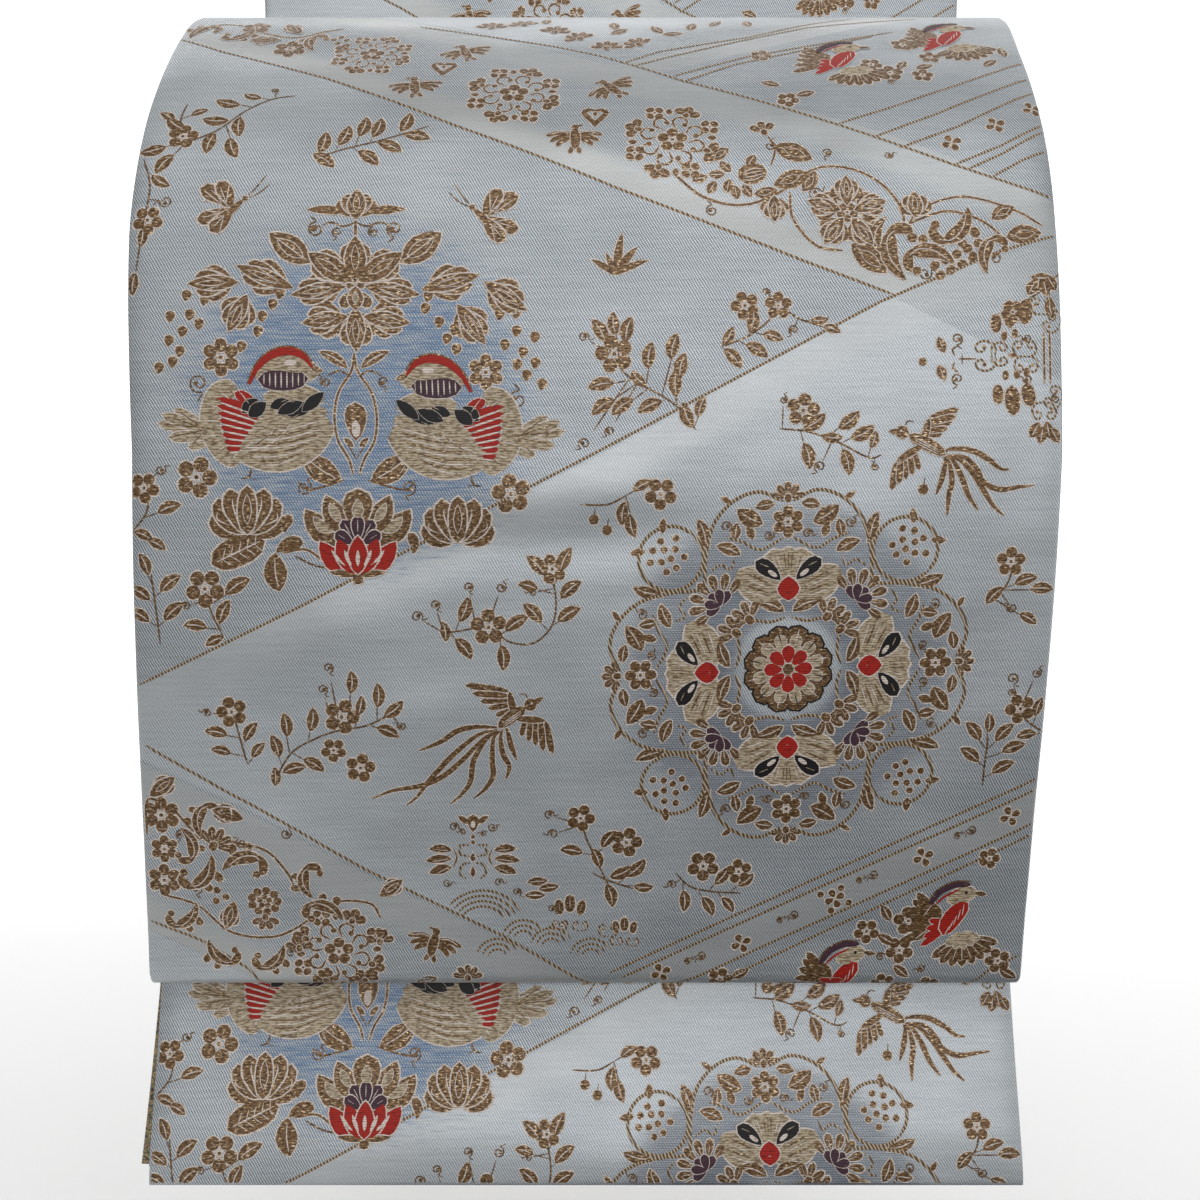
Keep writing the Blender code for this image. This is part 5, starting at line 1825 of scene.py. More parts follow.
class SashPattern:
    """The pattern as it lies on the drum. Places are (across, in the pattern) in millimetres."""

    def drawn(self) -> Threads:
        """Draws every motif and line."""
        pen = Brush()
        self.cords(pen)
        self.upper_band(pen)
        self.upper_scroll(pen)
        self.lower_band(pen)
        self.striped_field(pen)
        for spray in SPRAYS:
            spray.draw(pen)
        DuckGarden().draw(pen)
        with pen.at(66.2, 125.6, 2.4):
            Karahana().draw(pen)
        self.fliers(pen)
        self.vases(pen)
        self.right_ornament(pen)
        self.buds(pen)
        return pen.gathered()

    def cords(self, pen: Brush) -> None:
        """The long cords of twisted thread that part the fields."""
        runs = (
            ((-154, 371), (-135, 360), (-94, 340), (-48, 314), (9, 287), (69, 262), (99.5, 250.2)),
            ((-67, 382), (-47, 375), (-15, 364), (1, 357), (31, 339), (83, 315), (122, 297), (155, 284)),
            ((-153, 120), (-98, 147), (-58, 168), (34, 216), (95, 248), (135, 265), (155, 271)),
            ((-152, 98.6), (-123, 81), (-100, 68), (-76, 53), (-30, 29), (9, 5)),
            ((-153, 34), (-136, 27), (-119, 16), (-111, 5)), ((9, 14.5), (80, 50), (155, 87)),
            ((13, 12.5), (80, 46), (155, 83)), ((23, 4.5), (85, 35.5), (155, 70.7)),
            ((41, 7.5), (90, 33), (155, 66.7)), ((133, 5), (143, 15.5), (153.5, 21)),
            ((10, 351), (23, 360), (56, 372), (96, 394)), ((14, 349), (29, 357), (78, 381), (121, 394)),
            ((28, 342), (55, 356), (110, 377)), ((31, 338), (50, 350), (102, 373)),
            ((84, 315), (104, 324), (128, 337), (155, 353)), ((95, 308.5), (118, 320), (154.5, 342)),
            ((104, 304), (125, 314), (154, 333)), ((122, 297), (139, 305.5), (155, 316)),
            ((126, 295), (139, 302), (155, 313)), ((134, 292), (145, 299), (155, 304)),
        )
        for run in runs:
            pen.line(run, 0.46, CORD, smooth=False)

    def scroll_leaf(self, pen: Brush, x: float, y: float, turn: float, size: float, flip: bool) -> None:
        """A leaf of the scroll: a large one curls like a comma, a small one has three lobes."""
        if size >= 1:
            pen.comma(x, y, turn, 0.86 * size, flip)
        else:
            with pen.at(x, y, turn, size, flip):
                pen.lobed(-6, 0, 8, 12.5, 9, 3)

    def flower_round(self, pen: Brush, x: float, y: float, size: float = 1.0) -> None:
        """A round of the scroll: an open flower, eight small heads on a ring, and tendrils between them."""
        with pen.at(x, y, size=size):
            pen.bloom(0, 0, 5.4, 5, 90)
            for i in pen.around(8, 22.5):
                pen.line([(5.6, 1), (8.4, 3.2), (11.2, 1.6), (10.6, -1.4), (8.4, -1.6)], 0.42, edge=0.25)
                pen.dot(8.2, -1.4)
                if i % 2:
                    pen.fan(12.6, 0, 5.2, 0, 3, 116, start=0.12, width=0.66)
                else:
                    pen.bloom(14.4, 0.6, 3.6, 4, 20)
                    pen.figure(11.6, -3.8, 14.6, -5, 1.1)

    def upper_band(self, pen: Brush) -> None:
        """The pearl band at the top: birds, hearts, flower rounds and a long vine with a great flower."""
        self.flower_round(pen, -81, 358, 0.86)
        self.flower_round(pen, -28, 331, 0.98)
        self.flower_round(pen, 27, 307, 0.98)
        for x, y, turn, flip in ((-47, 359.5, 20, False), (-62.8, 335.4, 8, False), (6.2, 334.4, 40, False),
                                 (-6.3, 308, 2, True)):
            with pen.at(x, y, turn, flip=flip):
                small_bird(pen)
        t = np.linspace(0, TAU, 13)
        for x, y in ((-54, 348), (0.6, 318.8)):
            heart = zip(x + 3.9 * np.sin(t) ** 3, y + 3.6 * np.cos(t) - 1.4 * np.cos(2 * t))
            pen.line(list(heart), 0.95, edge=0.3)
            pen.figure(x, y + 1.6, x, y - 0.6, 0.8)
        vine = ((27, 293), (37, 284), (50, 281), (63, 286), (75, 295), (87, 295), (97, 289), (103, 280),
                (104, 271))
        pen.line(vine, 0.42, edge=0.3)
        pen.line([(66, 286), (67, 276), (74, 267), (83, 265)], 0.4, edge=0.3)
        pen.line([(104, 274), (118, 279), (130, 275.5), (137, 268), (133, 263)], 0.4, edge=0.3)
        pen.line([(104, 272), (110, 280), (124, 284.5), (140, 280), (150, 274)], 0.36, edge=0.3)
        for x, y, turn, length in ((67.7, 301.5, -24, 14), (66.4, 291, 205, 12.5), (72.5, 290, -120, 9),
                                   (91.5, 262.5, -42, 15), (143.5, 270.6, 8, 12), (43, 300.5, 40, 8),
                                   (58, 286, 190, 8), (137, 278.5, 30, 9)):
            pen.leaf(x, y, turn, length, 0.28 * length, 0.4)
            with pen.at(x, y, turn):
                pen.figure(-0.24 * length, 0.3, 0.3 * length, 0.3, 0.11 * length, level=3, edge=0.3)
        pen.figure(49, 291.2, 58.6, 293.6, 3.9, leaf=OVAL, bend=0.5)
        for k in (-2.2, -0.8, 0.8, 2.2):
            pen.line([(50.4, 291.8 + 0.6 * k), (54, 292.6 + k), (57.4, 293.4 + 0.6 * k)], 0.2, PALE, 2)
        for x, y, turn in ((36, 291, 200), (40, 287.6, 240), (41.6, 292.6, 180), (45.4, 288.2, 260),
                           (44.6, 295.6, 130), (48, 285.8, 280), (53.4, 298.2, 60), (51.8, 286.4, 300)):
            pen.leaf(x, y, turn, 5.4, 1.7)
        pen.line([(60, 296), (61.6, 303), (59.4, 309.4)], 0.36, edge=0.2)
        pen.fan(58.4, 310.4, 5.6, 104, 3, 90)
        for x, y, turn, wide in ((60.8, 284.6, -90, 10), (107.9, 276.6, 92, 12)):
            pen.lobed(x, y, turn, 9.6, wide)
        for x, y, turn, size, flip in ((102, 266, 66, 1.25, False), (110.5, 262, 24, 1.1, True),
                                       (119, 273.4, 196, 1.1, False), (133, 264.8, 40, 0.9, False),
                                       (96.5, 270, 110, 0.8, True)):
            pen.comma(x, y, turn, size, flip)
        for i in range(5):
            for side in (-1, 1):
                x, y = 114 + 3.7 * i - 0.8 * side, 258.4 + 1.9 * i + 1.7 * side
                pen.figure(x - 1.2, y - 1, x + 1.5, y + 1.2, 1.5, leaf=OVAL, edge=0.35)
        with pen.at(85, 278.5):
            for _ in pen.around(5, 90):
                pen.lobed(2.4, 0, 0, 11.4, 11)
            pen.bloom(0, 0, 3.6, 5, 54)
        for x, y, radius, turn, flip in ((74.5, 285, 2.6, 200, False), (110, 257.5, 2.4, 30, True),
                                         (133.5, 262.5, 2.4, 200, True), (95, 268, 2.2, 0, False),
                                         (60, 304.5, 2.2, 90, True), (40, 279, 2.2, -90, False),
                                         (79, 302, 2, 60, False), (100, 301, 1.8, 40, True)):
            pen.curl(x, y, radius, turn, flip)

    def upper_scroll(self, pen: Brush) -> None:
        """The scroll that runs on over the top at the left, and the petals and sprays over the band."""
        pen.line([(-152, 377), (-144, 384), (-133, 383), (-122, 375), (-111, 372), (-102, 377), (-95, 380)],
                 0.42, edge=0.3)
        for x, y, turn, size, flip in ((-146, 378, 20, 1, False), (-133.5, 374.5, 200, 1, False),
                                       (-122, 369, 10, 0.9, True), (-103, 368.5, 60, 1, False),
                                       (-113, 380, 120, 0.9, False)):
            self.scroll_leaf(pen, x, y, turn, size, flip)
        pen.bloom(-111.5, 362.5, 6.4, 6)
        pen.bloom(-128, 381, 5.4, 6)
        for x, y in ((-97, 370), (-94.5, 372), (-92, 369.5), (-95, 367)):
            pen.dot(x, y, 1.2)
        for x, y, turn in ((-28, 386, 20), (-16, 378.5, -10), (-6, 372.5, 30), (4, 364.5, 0), (16, 367.5, 40),
                           (-40, 383, 0)):
            pen.fan(x, y - 2, 6.2, 90 + turn, 5, 150)
        for x, y, half in ((-8, 5.4, 1.1), (-3, 7.6, 1), (2.6, 14.6, 1.4), (7.6, 9.6, 1.3), (11.2, 5, 1.1)):
            pen.figure(7.4, 256.6, 7.4 + x, 256.6 + y, half, bend=0.06 * x)
        for x, y, turn in ((6, 383, 100), (8, 377, 40), (35, 382, 80), (44, 386, 60), (22, 379, 120),
                           (-20, 389, 90), (28, 375, 10), (56, 386, 100)):
            pen.leaf(x, y, turn, 8)

    def lower_band(self, pen: Brush) -> None:
        """The pearl band at the lower left: the same scroll, one repeat on."""
        for x, y, radius in ((-147.5, 73.5, 6.6), (-147, 61, 5), (-147.5, 49.5, 6)):
            pen.bloom(x, y, radius, 6)
        pen.line([(-153, 66), (-152, 79), (-143, 75), (-137, 68), (-130, 66), (-124, 64), (-111.5, 61),
                  (-104, 53), (-102, 48)], 0.42, edge=0.3)
        pen.line([(-148, 44), (-136, 40), (-125, 30), (-111, 28), (-101, 32), (-89, 41), (-76, 41),
                  (-72, 35)], 0.42, edge=0.3)
        for x, y, turn, size, flip in ((-136, 52, 200, 1.2, False), (-118, 55.5, -20, 1.2, False),
                                       (-96, 50.5, 60, 1, False), (-93, 37.5, 10, 1.1, True),
                                       (-132, 72.5, 40, 1, False), (-139.5, 61.5, 250, 1, False),
                                       (-124.5, 73, -10, 0.9, True), (-124, 36.5, 80, 0.9, True),
                                       (-142, 36, 190, 1, False), (-112, 20, 190, 1, False),
                                       (-127.5, 22, 170, 1, True), (-68, 46, 30, 0.8, False),
                                       (-146.5, 83, 30, 0.9, False)):
            self.scroll_leaf(pen, x, y, turn, size, flip)
        pen.fan(-130, 62, 7.4, 60, 5, 130)
        with pen.at(-112.5, 42):
            for i in range(9):
                c, s = direction(40 * i)
                pen.dot(4.6 * c, 4.2 * s, 1.5)
            pen.bloom(0, 0, 2.8, 5)
            pen.fan(0, -6, 5.4, -90, 4, 120)
        for x, y in ((-129, 46), (-126, 43.5), (-129.5, 42)):
            pen.dot(x, y, 1.3)
        self.flower_round(pen, -87, 22.5, 0.98)
        for x, y, radius in ((-101, 25.5, 5.2), (-72.5, 28, 5.2), (-92, 13, 5), (-78, 13, 5)):
            pen.fan(x, y - 2, radius, 90, 4, 140)
        for x, y, radius, turn, flip in ((-136.5, 46.5, 2.4, 90, False), (-104.5, 67, 2.2, 60, True),
                                         (-104, 22, 2, 180, False), (-120, 63.5, 2, -60, False),
                                         (-141, 66.5, 2, -90, True)):
            pen.curl(x, y, radius, turn, flip)
        with pen.at(-53.4, 25.6, -14):
            small_bird(pen)
        pen.fan(-41.5, 12, 5.6, 90, 5, 140)
        pen.leaf(-56, 11, 20, 8)

    def striped_field(self, pen: Brush) -> None:
        """What lies between the slanting cords: crested birds, small flowers, quatrefoils and tendrils."""
        for x, y, size in ((90, 360.5, 0.94), (131, 378, 0.94), (130, 41.5, 0.94), (92.5, 19, 0.94)):
            with pen.at(x, y, 12, size):
                red_bird(pen)
        for x, y in ((146, 73), (117, 58), (87, 42.5), (55, 25.5), (27, 14.5), (122, 306.5), (138, 315),
                     (152, 323.5)):
            for k in range(4):
                with pen.at(x, y, 26 + 90 * k):
                    pen.figure(0.5, 0, 3.6, 0, 1.2, leaf=PETAL, edge=0.35)
        for x, y in ((82, 44), (92, 41), (86, 38), (89, 46.5)):
            pen.dot(x, y, 1.2)
        for x, y in ((133, 67.5), (100, 51), (73, 36), (41, 20.5)):
            pen.curl(x, y + 0.6, 1.9, 30, False)
            pen.curl(x - 4.6, y - 1.8, 1.5, 210, False)
            pen.line([(x - 3.4, y - 1.4), (x - 1, y + 0.8)], 0.28)
        for x, y, radius in ((113.5, 34, 5.4), (111, 23, 5), (99, 30, 4.6), (140, 57.5, 3.8), (146, 19, 4.6),
                             (105, 344.5, 5), (112.5, 366, 4.6), (99, 350.5, 4.2), (116.5, 343, 4),
                             (67.5, 327.5, 4), (121, 356, 4), (48, 12, 4.4), (72, 5.5, 4), (60, 357, 4),
                             (106, 10, 4.2), (122, 8.5, 4.4)):
            pen.bloom(x, y, radius, 5, 18 * x)
        for x, y, turn in ((62, 337, 160), (110, 350, 60), (118, 349, 20), (94, 343, 100), (118.5, 29, 40),
                           (106, 27, 150), (105.5, 37, 120), (120, 38, 60), (55, 14, 30), (112, 15, -40),
                           (150, 14, -30), (74, 331, 20), (142, 352, 40), (148, 360, 100)):
            pen.leaf(x, y, turn, 7)
        for x, y, turn in ((105, 338.5, 200), (122.5, 365, 20), (104.5, 20.5, 200), (119, 16.5, 0)):
            pen.curl(x, y, 1.8, turn)

    def fliers(self, pen: Brush) -> None:
        """The two butterflies and the two long-tailed birds."""
        with pen.at(-121, 279.5):
            butterfly(pen)
        with pen.at(-35, 276, flip=True):
            butterfly(pen)
        with pen.at(-25.7, 108.5, flip=True):
            SOARING.draw(pen)
        with pen.at(107.9, 200.6):
            SETTLING.draw(pen)

    def wisps(self, pen: Brush, x: float, y: float, size: float, turn: float = 0.0) -> None:
        """A pair of facing pale scrolls joined at their foot, the thin frame of the stands."""
        with pen.at(x, y, turn, size):
            for side in (-1, 1):
                pen.line([(0, -3.4), (side * 2, -3.6), (side * 3.9, -2.2), (side * 4.2, 0.4),
                          (side * 2.8, 2.2), (side * 1.2, 1.4), (side * 1.4, -0.2), (side * 2.6, -0.4)], 0.42,
                         CORD)
                pen.dot(side * 2.5, -0.3, 0.55)

    def vases(self, pen: Brush) -> None:
        """The flower on its scrolled stand at the low middle, with the ripples and vases beside it."""
        with pen.at(-39.7, 58):
            pen.figure(0, 9.4, 0, 15.6, 1.9, leaf=PETAL)
            pen.figure(0, 10.8, 0, 13.4, 0.8, PALE, OVAL, level=2, edge=0)
            for k in (-1, 1):
                pen.figure(k * 1.4, 12.4, k * 5.2, 15.2, 1)
                pen.curl(k * 6.6, 11.2, 1.9, 90 - k * 60, k > 0, 1.2, 0.26, 0.7)
                pen.curl(k * 3.6, 9.2, 1.4, 90 - k * 100, k < 0, 1.1, 0.24, 0.6)
                for y0, y1, reach, half in ((2.6, 3, 15.2, 1.55), (-0.6, -1.4, 16.4, 1.55),
                                            (-3.8, -6, 15.2, 1.75)):
                    pen.figure(k * 7.4, y0, k * reach, y1, half, bend=k * 0.5)
                    pen.line([(k * 8.6, y0), (k * (reach - 2.4), y1)], 0.18, PALE, 2)
                pen.line([(k, 4.6), (k * 4.6, 4.6), (k * 4.6, 1), (k * 1.2, 0.4)], 0.45, CORD, smooth=False)
                pen.line([(k * 6.6, 3), (k * 5.6, 0), (k * 6.8, -3.4)], edge=0.2)
                pen.line([(k * 0.8, -2), (k * 3.6, -2.6), (k * 4.6, -5.8), (k * 2.4, -8)], 0.45, CORD)
                pen.curl(k * 9, -9.4, 1.8, 90 + k * 70, k < 0, 1.2, 0.24, 0.6)
            for y in (7.6, 5.6):
                pen.dot(0, y, 0.7)
            pen.figure(0, -1.6, 0, 1.6, 0.9)
            pen.figure(0, -7.4, 0, -3.4, 0.8)
            for radius in (9, 11, 13, 15):
                pen.line(ring(3.4, -27.4, radius, 28, 140, 10), 0.42, CORD)
        for x, y in ((-22, 27), (-31, 20), (-12, 24), (2, 20)):
            for radius in (3.4, 5.4, 7.4):
                pen.line(ring(x, y, radius, 25, 165, 8), 0.4, CORD)
        for x, y, size in ((-5.7, 39.6, 1), (13.6, 32, 0.8)):
            with pen.at(x, y, size=size):
                for dx, foot, tip, half in ((-4.1, -3.2, 2.6, 1.5), (0, -2.4, 4.4, 1.8),
                                            (4.4, -3.4, 2.2, 1.5)):
                    pen.figure(dx * 0.8, foot, dx, tip, half, leaf=OVAL)
                    pen.line([(dx * 0.85, foot + 1.6), (dx * 0.95, tip - 1.6)], 0.16, PALE, 2)
            self.wisps(pen, x - 3.4 * size, y - 6.6 * size, 0.62 * size)
            self.wisps(pen, x + 3.8 * size, y - 7 * size, 0.62 * size)
        for dx, dy, turn in ((-0.6, 3.6, 4), (3.4, 1.2, 8), (-1.4, -1.6, 0)):
            pen.leaf(-16.6 + dx, 45.4 + dy, turn, 7.2, 1.6)
        for x, y in ((-24.4, 45), (-12, 38.6)):
            pen.curl(x, y, 1.8, 120, False, 1.2, 0.26)
        self.wisps(pen, 8, 31, 0.8)
        self.wisps(pen, -10, 31.6, 0.7, 20)

    def right_ornament(self, pen: Brush) -> None:
        """The tall ornament at the upper right edge, with its leaves and tendrils."""
        with pen.at(138, 230):
            for x, low, high, half, lean in ((-5.1, 7.6, 14, 1.75, 0), (-0.5, 9.2, 18.6, 2.05, 0),
                                             (4.3, 10.4, 19, 2.3, 1), (-4.9, -9.4, -16, 1.75, 0),
                                             (-0.4, -9.8, -19.6, 2.5, 0.6), (4.4, -9, -16.6, 2.2, 1.6)):
                pen.figure(x, low, x + lean, high, half, leaf=OVAL)
            for x, y in ((-2.6, 6.6), (1, 7.4), (-2.4, -6.4), (1.4, -6), (4.6, -5.4)):
                pen.figure(x, y - 1.6, x + 0.2, y + 1.6, 1, leaf=OVAL, edge=0.3)
            self.wisps(pen, -9.6, 0, 1.15, 90)
            self.wisps(pen, -3.6, 0.6, 0.9, -90)
            self.wisps(pen, 4.2, 3, 0.9, 0)
            self.wisps(pen, 4.6, -3.4, 0.9, 180)
            pen.figure(-1.4, 0.2, 1.8, 0.2, 0.7)
        with pen.at(118, 229):
            for k in (-1, 1):
                pen.curl(1.8, k * 6.6, 2.1, 90 * k, k < 0, 1.2, 0.3)
                pen.leaf(-3.4, k * 4.6, 90 * k + 20, 5.4, 1.6)
                pen.line([(1, k), (0.2, k * 3), (2, k * 4.4)], edge=0.2)
            pen.line([(2, 0), (8, 0)], 0.34, edge=0.25)
            pen.line([(3.4, -1.8), (3.4, 1.8)])
        pen.dot(108.3, 228, 1.3)
        for y, k in ((252.8, 1), (205.6, -1)):
            with pen.at(148.4, y):
                for i in range(4):
                    pen.leaf(-3.2 + 2.2 * i, 1.6 * k * (i % 2), 60 + 20 * i, 5.8, 1.9)
                self.wisps(pen, 0, -5.6 * k, 0.95, 0 if k > 0 else 180)
                self.wisps(pen, 3, -11 * k, 0.9, 60)
        for x in (148.6, 150.6):
            pen.line([(x, 221), (x, 229), (x, 238)], 0.34, edge=0.25)
        for x, y in ((143, 236), (152, 243), (152.5, 216), (143, 222.5)):
            pen.curl(x, y, 1.8, 30 * x, False, 1.2, 0.28)

    def buds(self, pen: Brush) -> None:
        """Small buds and berries that fill the field's corners."""
        for x, y in ((4, 172.5), (-0.5, 176), (108.5, 186)):
            pen.line([(x, y), (x + 0.4, y + 4)], 0.28)
            pen.dot(x, y, 1.7)


# ---------------------------------------------------------------- the sash
@dataclass(frozen=True)
class FoldedLength:
    """The rest of the sash: six layers folded back and forth over the rail, as one serpentine band.

    Layer i lies at inner + (i + 1/2) pitch off the rail's middle, and each two are joined by a half turn
    at one foot. Sizes are in millimetres, and a foot's is its height.
    """

    layers: int = 6
    inner: float = 12.0
    pitch: float = 11.8 / 6  # from one layer to the next
    thickness: float = 1.75
    half_width: float = 153.0
    sideways: float = 4.0  # how far to the right its middle lies
    front_foot: float = -42.8
    back_foot: float = -400.8
    nesting: float = 0.26  # half of how much higher a layer turns than its outer neighbour

    def path(self) -> np.ndarray:
        """The band's middle line, seen from the side."""
        rail = np.array([LINE.strip.drum_to_rail, 0.0])
        runs = []
        for i in range(self.layers):
            radius = self.inner + (i + 0.5) * self.pitch
            lift = (self.layers - abs(2 * i + 1 - self.layers)) * self.nesting
            front, back = self.front_foot + lift, self.back_foot + lift
            over = np.vstack([
                straight(rail + [-radius, front], rail + [-radius, 0.0]),
                arc(rail, radius, 180.0, 0.0)[1:],
                straight(rail + [radius, 0.0], rail + [radius, back])[1:],
            ])
            half_turn = radius + self.pitch / 2
            if i % 2 == 0:
                runs += [over, arc(rail + [half_turn, back], self.pitch / 2, 180.0, 360.0)]
            else:
                runs += [over[::-1], arc(rail + [-half_turn, front], self.pitch / 2, 0.0, -180.0)]
        return np.vstack(runs[:-1])

    def rings(self) -> tuple[np.ndarray, np.ndarray, np.ndarray]:
        """Places of the band's rings, its direction at each in radians, and how far along each lies."""
        path = self.path()
        gone = totals(np.linalg.norm(np.diff(path, axis=0), axis=1))
        moved = np.concatenate([[True], np.diff(gone) > 1e-6])
        path, gone = path[moved], gone[moved]
        tangent = np.gradient(path, gone, axis=0)
        angle = np.unwrap(np.arctan2(tangent[:, 1], tangent[:, 0]))
        steps = load(gone, angle, widest=6.0, turn=0.25)
        at = np.interp(np.linspace(0.0, steps[-1], int(steps[-1])), steps, gone)
        line = np.stack([np.interp(at, gone, path[:, 0]), np.interp(at, gone, path[:, 1])], axis=1)
        return line, np.interp(at, gone, angle), at


@dataclass
class Sash:
    """The whole sash, in millimetres: five stretches of patterned cloth and lining, and the folded length."""

    finishes: Finishes
    half_width: float = 155.0
    front_thickness: float = 1.2
    lining_thickness: float = 1.0
    seam_gap: float = 0.3  # between the front cloth and the lining
    shown: float = 0.7  # how far the lining shows past the front cloth's left edge
    hem_turn: float = 7.0  # height of the tail's turned hem
    hem_rings: Sequence[float] = (0.0, 0.12, 0.35, 0.7, 1.25, 2.2, 3.8, 5.4, 6.6)
    hem_round: float = 0.85  # share of the half thickness that the hem's rounding takes off each face
    peek: float = 0.9  # how far the tail's lining shows to the left
    hem_peek: float = 3.5  # and at its hem
    peek_height: float = 75.0
    repeat_foot: float = 15.0  # where the woven repeat starts in the pattern
    tail_woven: float = 130.0  # how high the tail is woven, which is as far as it can be seen

    @property
    def low(self) -> float:
        """Back of the lining, off the front cloth's face."""
        return -(self.front_thickness + self.seam_gap + self.lining_thickness)

    def front(self, stretch: Stretch, step: float) -> bpy.types.Object:
        """The patterned cloth of one stretch."""
        first, last = stretch.span
        cloth = Cloth(stretch)
        if stretch is Stretch.TAIL:
            above = LINE.rings(self.hem_turn + 1.4, last, step)
            rings = np.concatenate([self.hem_rings, [self.hem_turn], above])
            shape = cloth.carry(rings, [self.tail_section(ring, step) for ring in rings])
        else:
            left = self.shown - self.half_width
            section = turned_section(left, self.half_width, 0.0, -self.front_thickness, self.low, step)
            shape = cloth.carry(LINE.rings(first, last, step), section)
        piece = shape.add(stretch.label + "_brocade", [self.finishes.ground])
        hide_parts(stretch.label + "_front")
        return piece

    def tail_section(self, along: float, step: float) -> Section:
        """The tail's front cloth: thick and rounded at its hem, where it is turned up behind the lining.

        With h half the thickness, each face draws in by h - sqrt(h^2 - (h - along)^2) at the hem.
        """
        half = -self.low / 2
        drawn_in = half - math.sqrt(max(0.0, half**2 - max(0.0, half - along) ** 2))
        drawn_in = min(drawn_in, self.hem_round * half)
        turned = along < self.hem_turn - 0.2
        low = self.low + drawn_in if turned else -self.front_thickness
        lip = min(low, self.low + drawn_in) - 0.02
        return turned_section(-self.half_width, self.half_width, -drawn_in, low, lip, step)

    def lining(self, stretch: Stretch, step: float) -> bpy.types.Object:
        """The lining of one stretch, its left selvedge showing past the front cloth."""
        first, last = stretch.span
        high = -(self.front_thickness + self.seam_gap)
        left, right = -self.half_width, self.half_width - TURN_IN - self.seam_gap
        if stretch is Stretch.TAIL:
            rings = LINE.rings(self.hem_turn + self.seam_gap, last, step)
            fade = np.clip(1.0 - rings / self.peek_height, 0.0, 1.0)
            peeks = self.peek + (self.hem_peek - self.peek) * fade
            sections = [plain_section(left - peek, right, high, self.low, step) for peek in peeks]
            shape = Cloth(stretch).carry(rings, sections)
        else:
            rings = LINE.rings(first, last, step)
            shape = Cloth(stretch).carry(rings, plain_section(left, right, high, self.low, step))
        piece = shape.add(stretch.label + "_speckled_lining", [self.finishes.lining])
        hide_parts(stretch.label + "_lining")
        return piece

    def folded_length(self) -> None:
        """The rest of the sash, over the rail: its wall stands half its thickness off its middle line."""
        band = FoldedLength()
        line, heading, gone = band.rings()
        half = band.thickness / 2
        section = plain_section(-band.half_width, band.half_width, half, -half, 24.0)
        out = np.stack([-np.sin(heading), np.cos(heading)], axis=1)
        points = np.stack([
            np.tile(section.across + band.sideways, (len(line), 1)),
            line[:, :1] + out[:, :1] * section.off[None] - LINE.strip.drum_to_rail,
            line[:, 1:] + out[:, 1:] * section.off[None]], axis=-1).reshape(-1, 3) * 0.001
        cloth = np.stack([np.tile(section.across, len(line)), np.repeat(gone, len(section.across))], axis=1)
        shape = Shape(points, tube_faces(len(line), len(section.across)), cloth)
        piece = shape.add("folded_length_layers", [self.finishes.ground])
        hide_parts("folded_length")

    def motifs(self, stretch: Stretch, threads: Threads) -> list[bpy.types.Object]:
        """The raised threads of one stretch, in three pieces by their dyes.

        The drum has the whole plan as it is drawn, the other stretches copies of one repeat of it.
        """
        foot, repeat = self.repeat_foot, LINE.strip.repeat
        if stretch is Stretch.DRUM:
            shifts = [(stretch.origin, -60.0, 500.0)]
        else:
            copies = (-2,) if stretch is Stretch.TAIL else range(3)
            shifts = [(stretch.origin + copy * repeat, foot, foot + repeat) for copy in copies]
        top = self.tail_woven if stretch is Stretch.TAIL else math.inf
        whole = Weaver(stretch).laid(threads, shifts, top)
        pieces = []
        for label, inks in (("gold_motifs", [GOLD, CORD]), ("pale_outlines", [PALE]),
                            ("coloured_motifs", [RED, PURPLE, BLACK, CREAM])):
            shape = part_of(whole, inks)
            if len(shape.faces):
                dyes = [self.finishes.threads[ink] for ink in inks]
                piece = shape.add(stretch.label + "_" + label, dyes, smooth=False)
                pieces.append(piece)
        return pieces

    def build(self, threads: Threads) -> None:
        """Builds every stretch in order along the strip. A step is the spacing of a cloth's grid."""
        steps = {Stretch.TAIL: (2.5, 5.0), Stretch.INNER: (6.0, 8.0), Stretch.DRUM: (2.3, 5.0),
                 Stretch.UPPER: (3.0, 5.0), Stretch.BACK: (3.4, 6.0)}
        for stretch, (front_step, lining_step) in steps.items():
            lining = self.lining(stretch, lining_step)
            front = self.front(stretch, front_step)
            woven = [] if stretch is Stretch.INNER else self.motifs(stretch, threads)
        self.folded_length()


# ---------------------------------------------------------------- studio, in metres
Place = tuple[float, float, float]


@dataclass(frozen=True)
class Side:
    """A soft side of the dark gauze: where it lies, in metres, and how wide it is."""

    place: float
    soft: float

    def rise(self, at: np.ndarray) -> np.ndarray:
        """From 0 before the side to 1 past it, along 3 t squared less 2 t cubed."""
        t = np.clip((at - self.place) / self.soft + 0.5, 0.0, 1.0)
        return t * t * (3.0 - 2.0 * t)


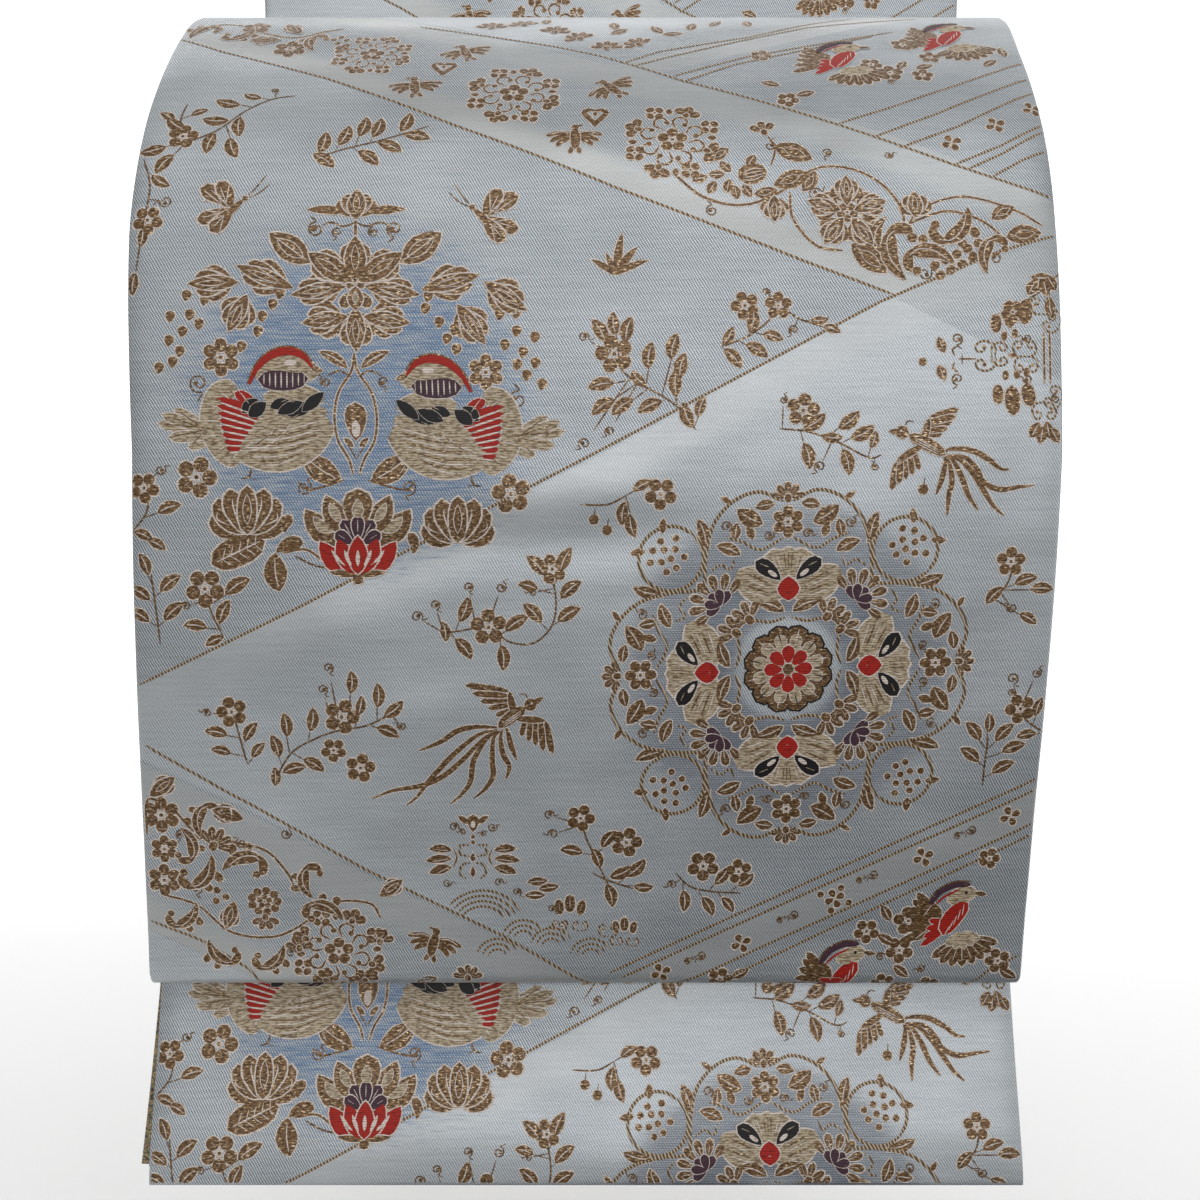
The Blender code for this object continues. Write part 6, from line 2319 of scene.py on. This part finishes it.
@dataclass(frozen=True)
class Studio:
    """Floor, backdrop, soft lights and the camera."""

    floor_height: float = -0.56
    lens: float = 39.0
    camera_place: Place = (0.0, -0.6323, -0.212)
    camera_tilt: float = 84.0

    def floor(self) -> None:
        """A floor that sweeps up into a backdrop: a quarter circle between two straight runs."""
        radius, back = 0.8, 1.6
        turn = np.radians(np.linspace(0.0, 90.0, 24))
        depth = np.concatenate([[-6.0, -2.0, 0.0], back + radius * np.sin(turn), [back + radius]])
        height = np.concatenate([[0.0, 0.0, 0.0], radius * (1 - np.cos(turn)), [6.0]]) + self.floor_height
        wide = np.array([-6.0, 6.0])
        x, i = np.meshgrid(wide, np.arange(len(depth)), indexing="xy")
        points = np.stack([x, depth[i], height[i]], axis=-1).reshape(-1, 3)
        k = 2 * np.arange(len(depth) - 1)[:, None]
        faces = k + [0, 1, 3, 2]
        mesh = bpy.data.meshes.new("studio_floor")
        mesh.from_pydata(points.tolist(), [], faces.tolist())
        mesh.polygons.foreach_set("use_smooth", np.full(len(faces), True))
        mesh.materials.append(StudioFloor().made())
        floor = bpy.data.objects.new("studio_floor", mesh)
        bpy.context.scene.collection.objects.link(floor)

    def light(self, name: str, place: Place, aim: Place, size: Pair, power: float) -> None:
        """A soft area light aimed at a place.

        Args:
            name: its name.
            place: where it hangs, in metres.
            aim: the place it looks at.
            size: its width and height.
            power: its power, in watts.
        """
        data = bpy.data.lights.new(name, "AREA")
        data.shape = "RECTANGLE"
        (data.size, data.size_y), data.energy = size, power
        lamp = bpy.data.objects.new(name, data)
        way = Vector(aim) - Vector(place)
        lamp.location, lamp.rotation_euler = place, way.to_track_quat("-Z", "Y").to_euler()
        bpy.context.scene.collection.objects.link(lamp)

    def negative_fill(self) -> None:
        """A dark gauze on the floor in front, which keeps the floor's light off the drum's lower right half.

        Its cover is the greater of two oblongs, each the product of a soft rise and a soft fall both ways.
        """
        def oblong(left: Side, right: Side, front: Side, back: Side) -> np.ndarray:
            """Cover of one oblong, from 0 outside it to 1 inside."""
            return left.rise(x) * (1.0 - right.rise(x)) * front.rise(y) * (1.0 - back.rise(y))

        x, y = np.meshgrid(np.arange(-1.5, 1.51, 0.04), np.arange(-2.3, 0.11, 0.04), indexing="xy")
        far_left, far_right, far_front = Side(-1.1, 0.6), Side(1.1, 0.6), Side(-1.9, 0.6)
        cover = np.maximum(oblong(far_left, far_right, far_front, Side(-0.62, 0.24)),
                           oblong(Side(-0.11, 0.12), far_right, far_front, Side(-0.13, 0.16)))
        rows, columns = x.shape
        points = np.stack([x, y, np.full_like(x, self.floor_height + 0.004)], axis=-1).reshape(-1, 3)
        corner = (np.arange(rows - 1)[:, None] * columns + np.arange(columns - 1)).reshape(-1, 1)
        mesh = bpy.data.meshes.new("dark_card")
        mesh.from_pydata(points.tolist(), [], (corner + [0, 1, columns + 1, columns]).tolist())
        attribute = mesh.attributes.new("cover", "FLOAT", "POINT")
        attribute.data.foreach_set("value", cover.ravel().astype(np.float32))
        dye = Dye("dark_card")
        mesh.materials.append(dye.finish((0.03, 0.03, 0.035, 1.0), 0.9))
        share = dye.node("ShaderNodeAttribute", {"attribute_name": "cover"}, {}, "Fac")
        dye.feed(dye.shader.inputs["Alpha"], share)
        card = bpy.data.objects.new("dark_card", mesh)
        card.visible_camera = card.visible_shadow = False
        bpy.context.scene.collection.objects.link(card)

    def build(self) -> None:
        """Sets up the whole studio."""
        self.floor()
        world = bpy.data.worlds.new("pale_room")
        world.use_nodes = True
        background = world.node_tree.nodes["Background"].inputs
        background["Color"].default_value = (1.0, 1.0, 1.0, 1.0)
        background["Strength"].default_value = 0.30
        bpy.context.scene.world = world
        for name, place, aim, size, power in (
                ("overhead_softbox", (0.1, -0.95, 1.15), (0.0, -0.15, -0.25), (1.4, 0.7), 7.0),
                ("front_softbox", (0.25, -2.4, 0.42), (0.0, -0.15, -0.20), (2.2, 0.9), 17.0),
                ("right_softbox", (1.7, -0.8, 0.0), (0.0, -0.15, -0.28), (0.6, 1.0), 4.0),
                ("backdrop_softbox", (0.0, 1.0, 1.4), (0.0, 2.3, 0.0), (3.0, 0.5), 60.0)):
            self.light(name, place, aim, size, power)
        self.negative_fill()
        view = bpy.context.scene.view_settings
        view.view_transform, view.look, view.exposure, view.gamma = "Standard", "None", 0.0, 1.0
        data = bpy.data.cameras.new("camera")
        data.lens, data.sensor_width, data.clip_start, data.clip_end = self.lens, 36.0, 0.02, 30.0
        camera = bpy.data.objects.new("camera", data)
        camera.location = self.camera_place
        camera.rotation_euler = (math.radians(self.camera_tilt), 0.0, 0.0)
        bpy.context.scene.collection.objects.link(camera)
        bpy.context.scene.camera = camera


def main() -> None:
    """Builds the sash and the studio."""
    logging.basicConfig(level=logging.INFO, format="%(message)s")
    threads = SashPattern().drawn()
    LOG.info("pattern: %d figures, %d lines", len(threads.halves), len(threads.lines))
    Sash(Finishes()).build(threads)
    Studio().build()


if __name__ == "__main__":
    main()
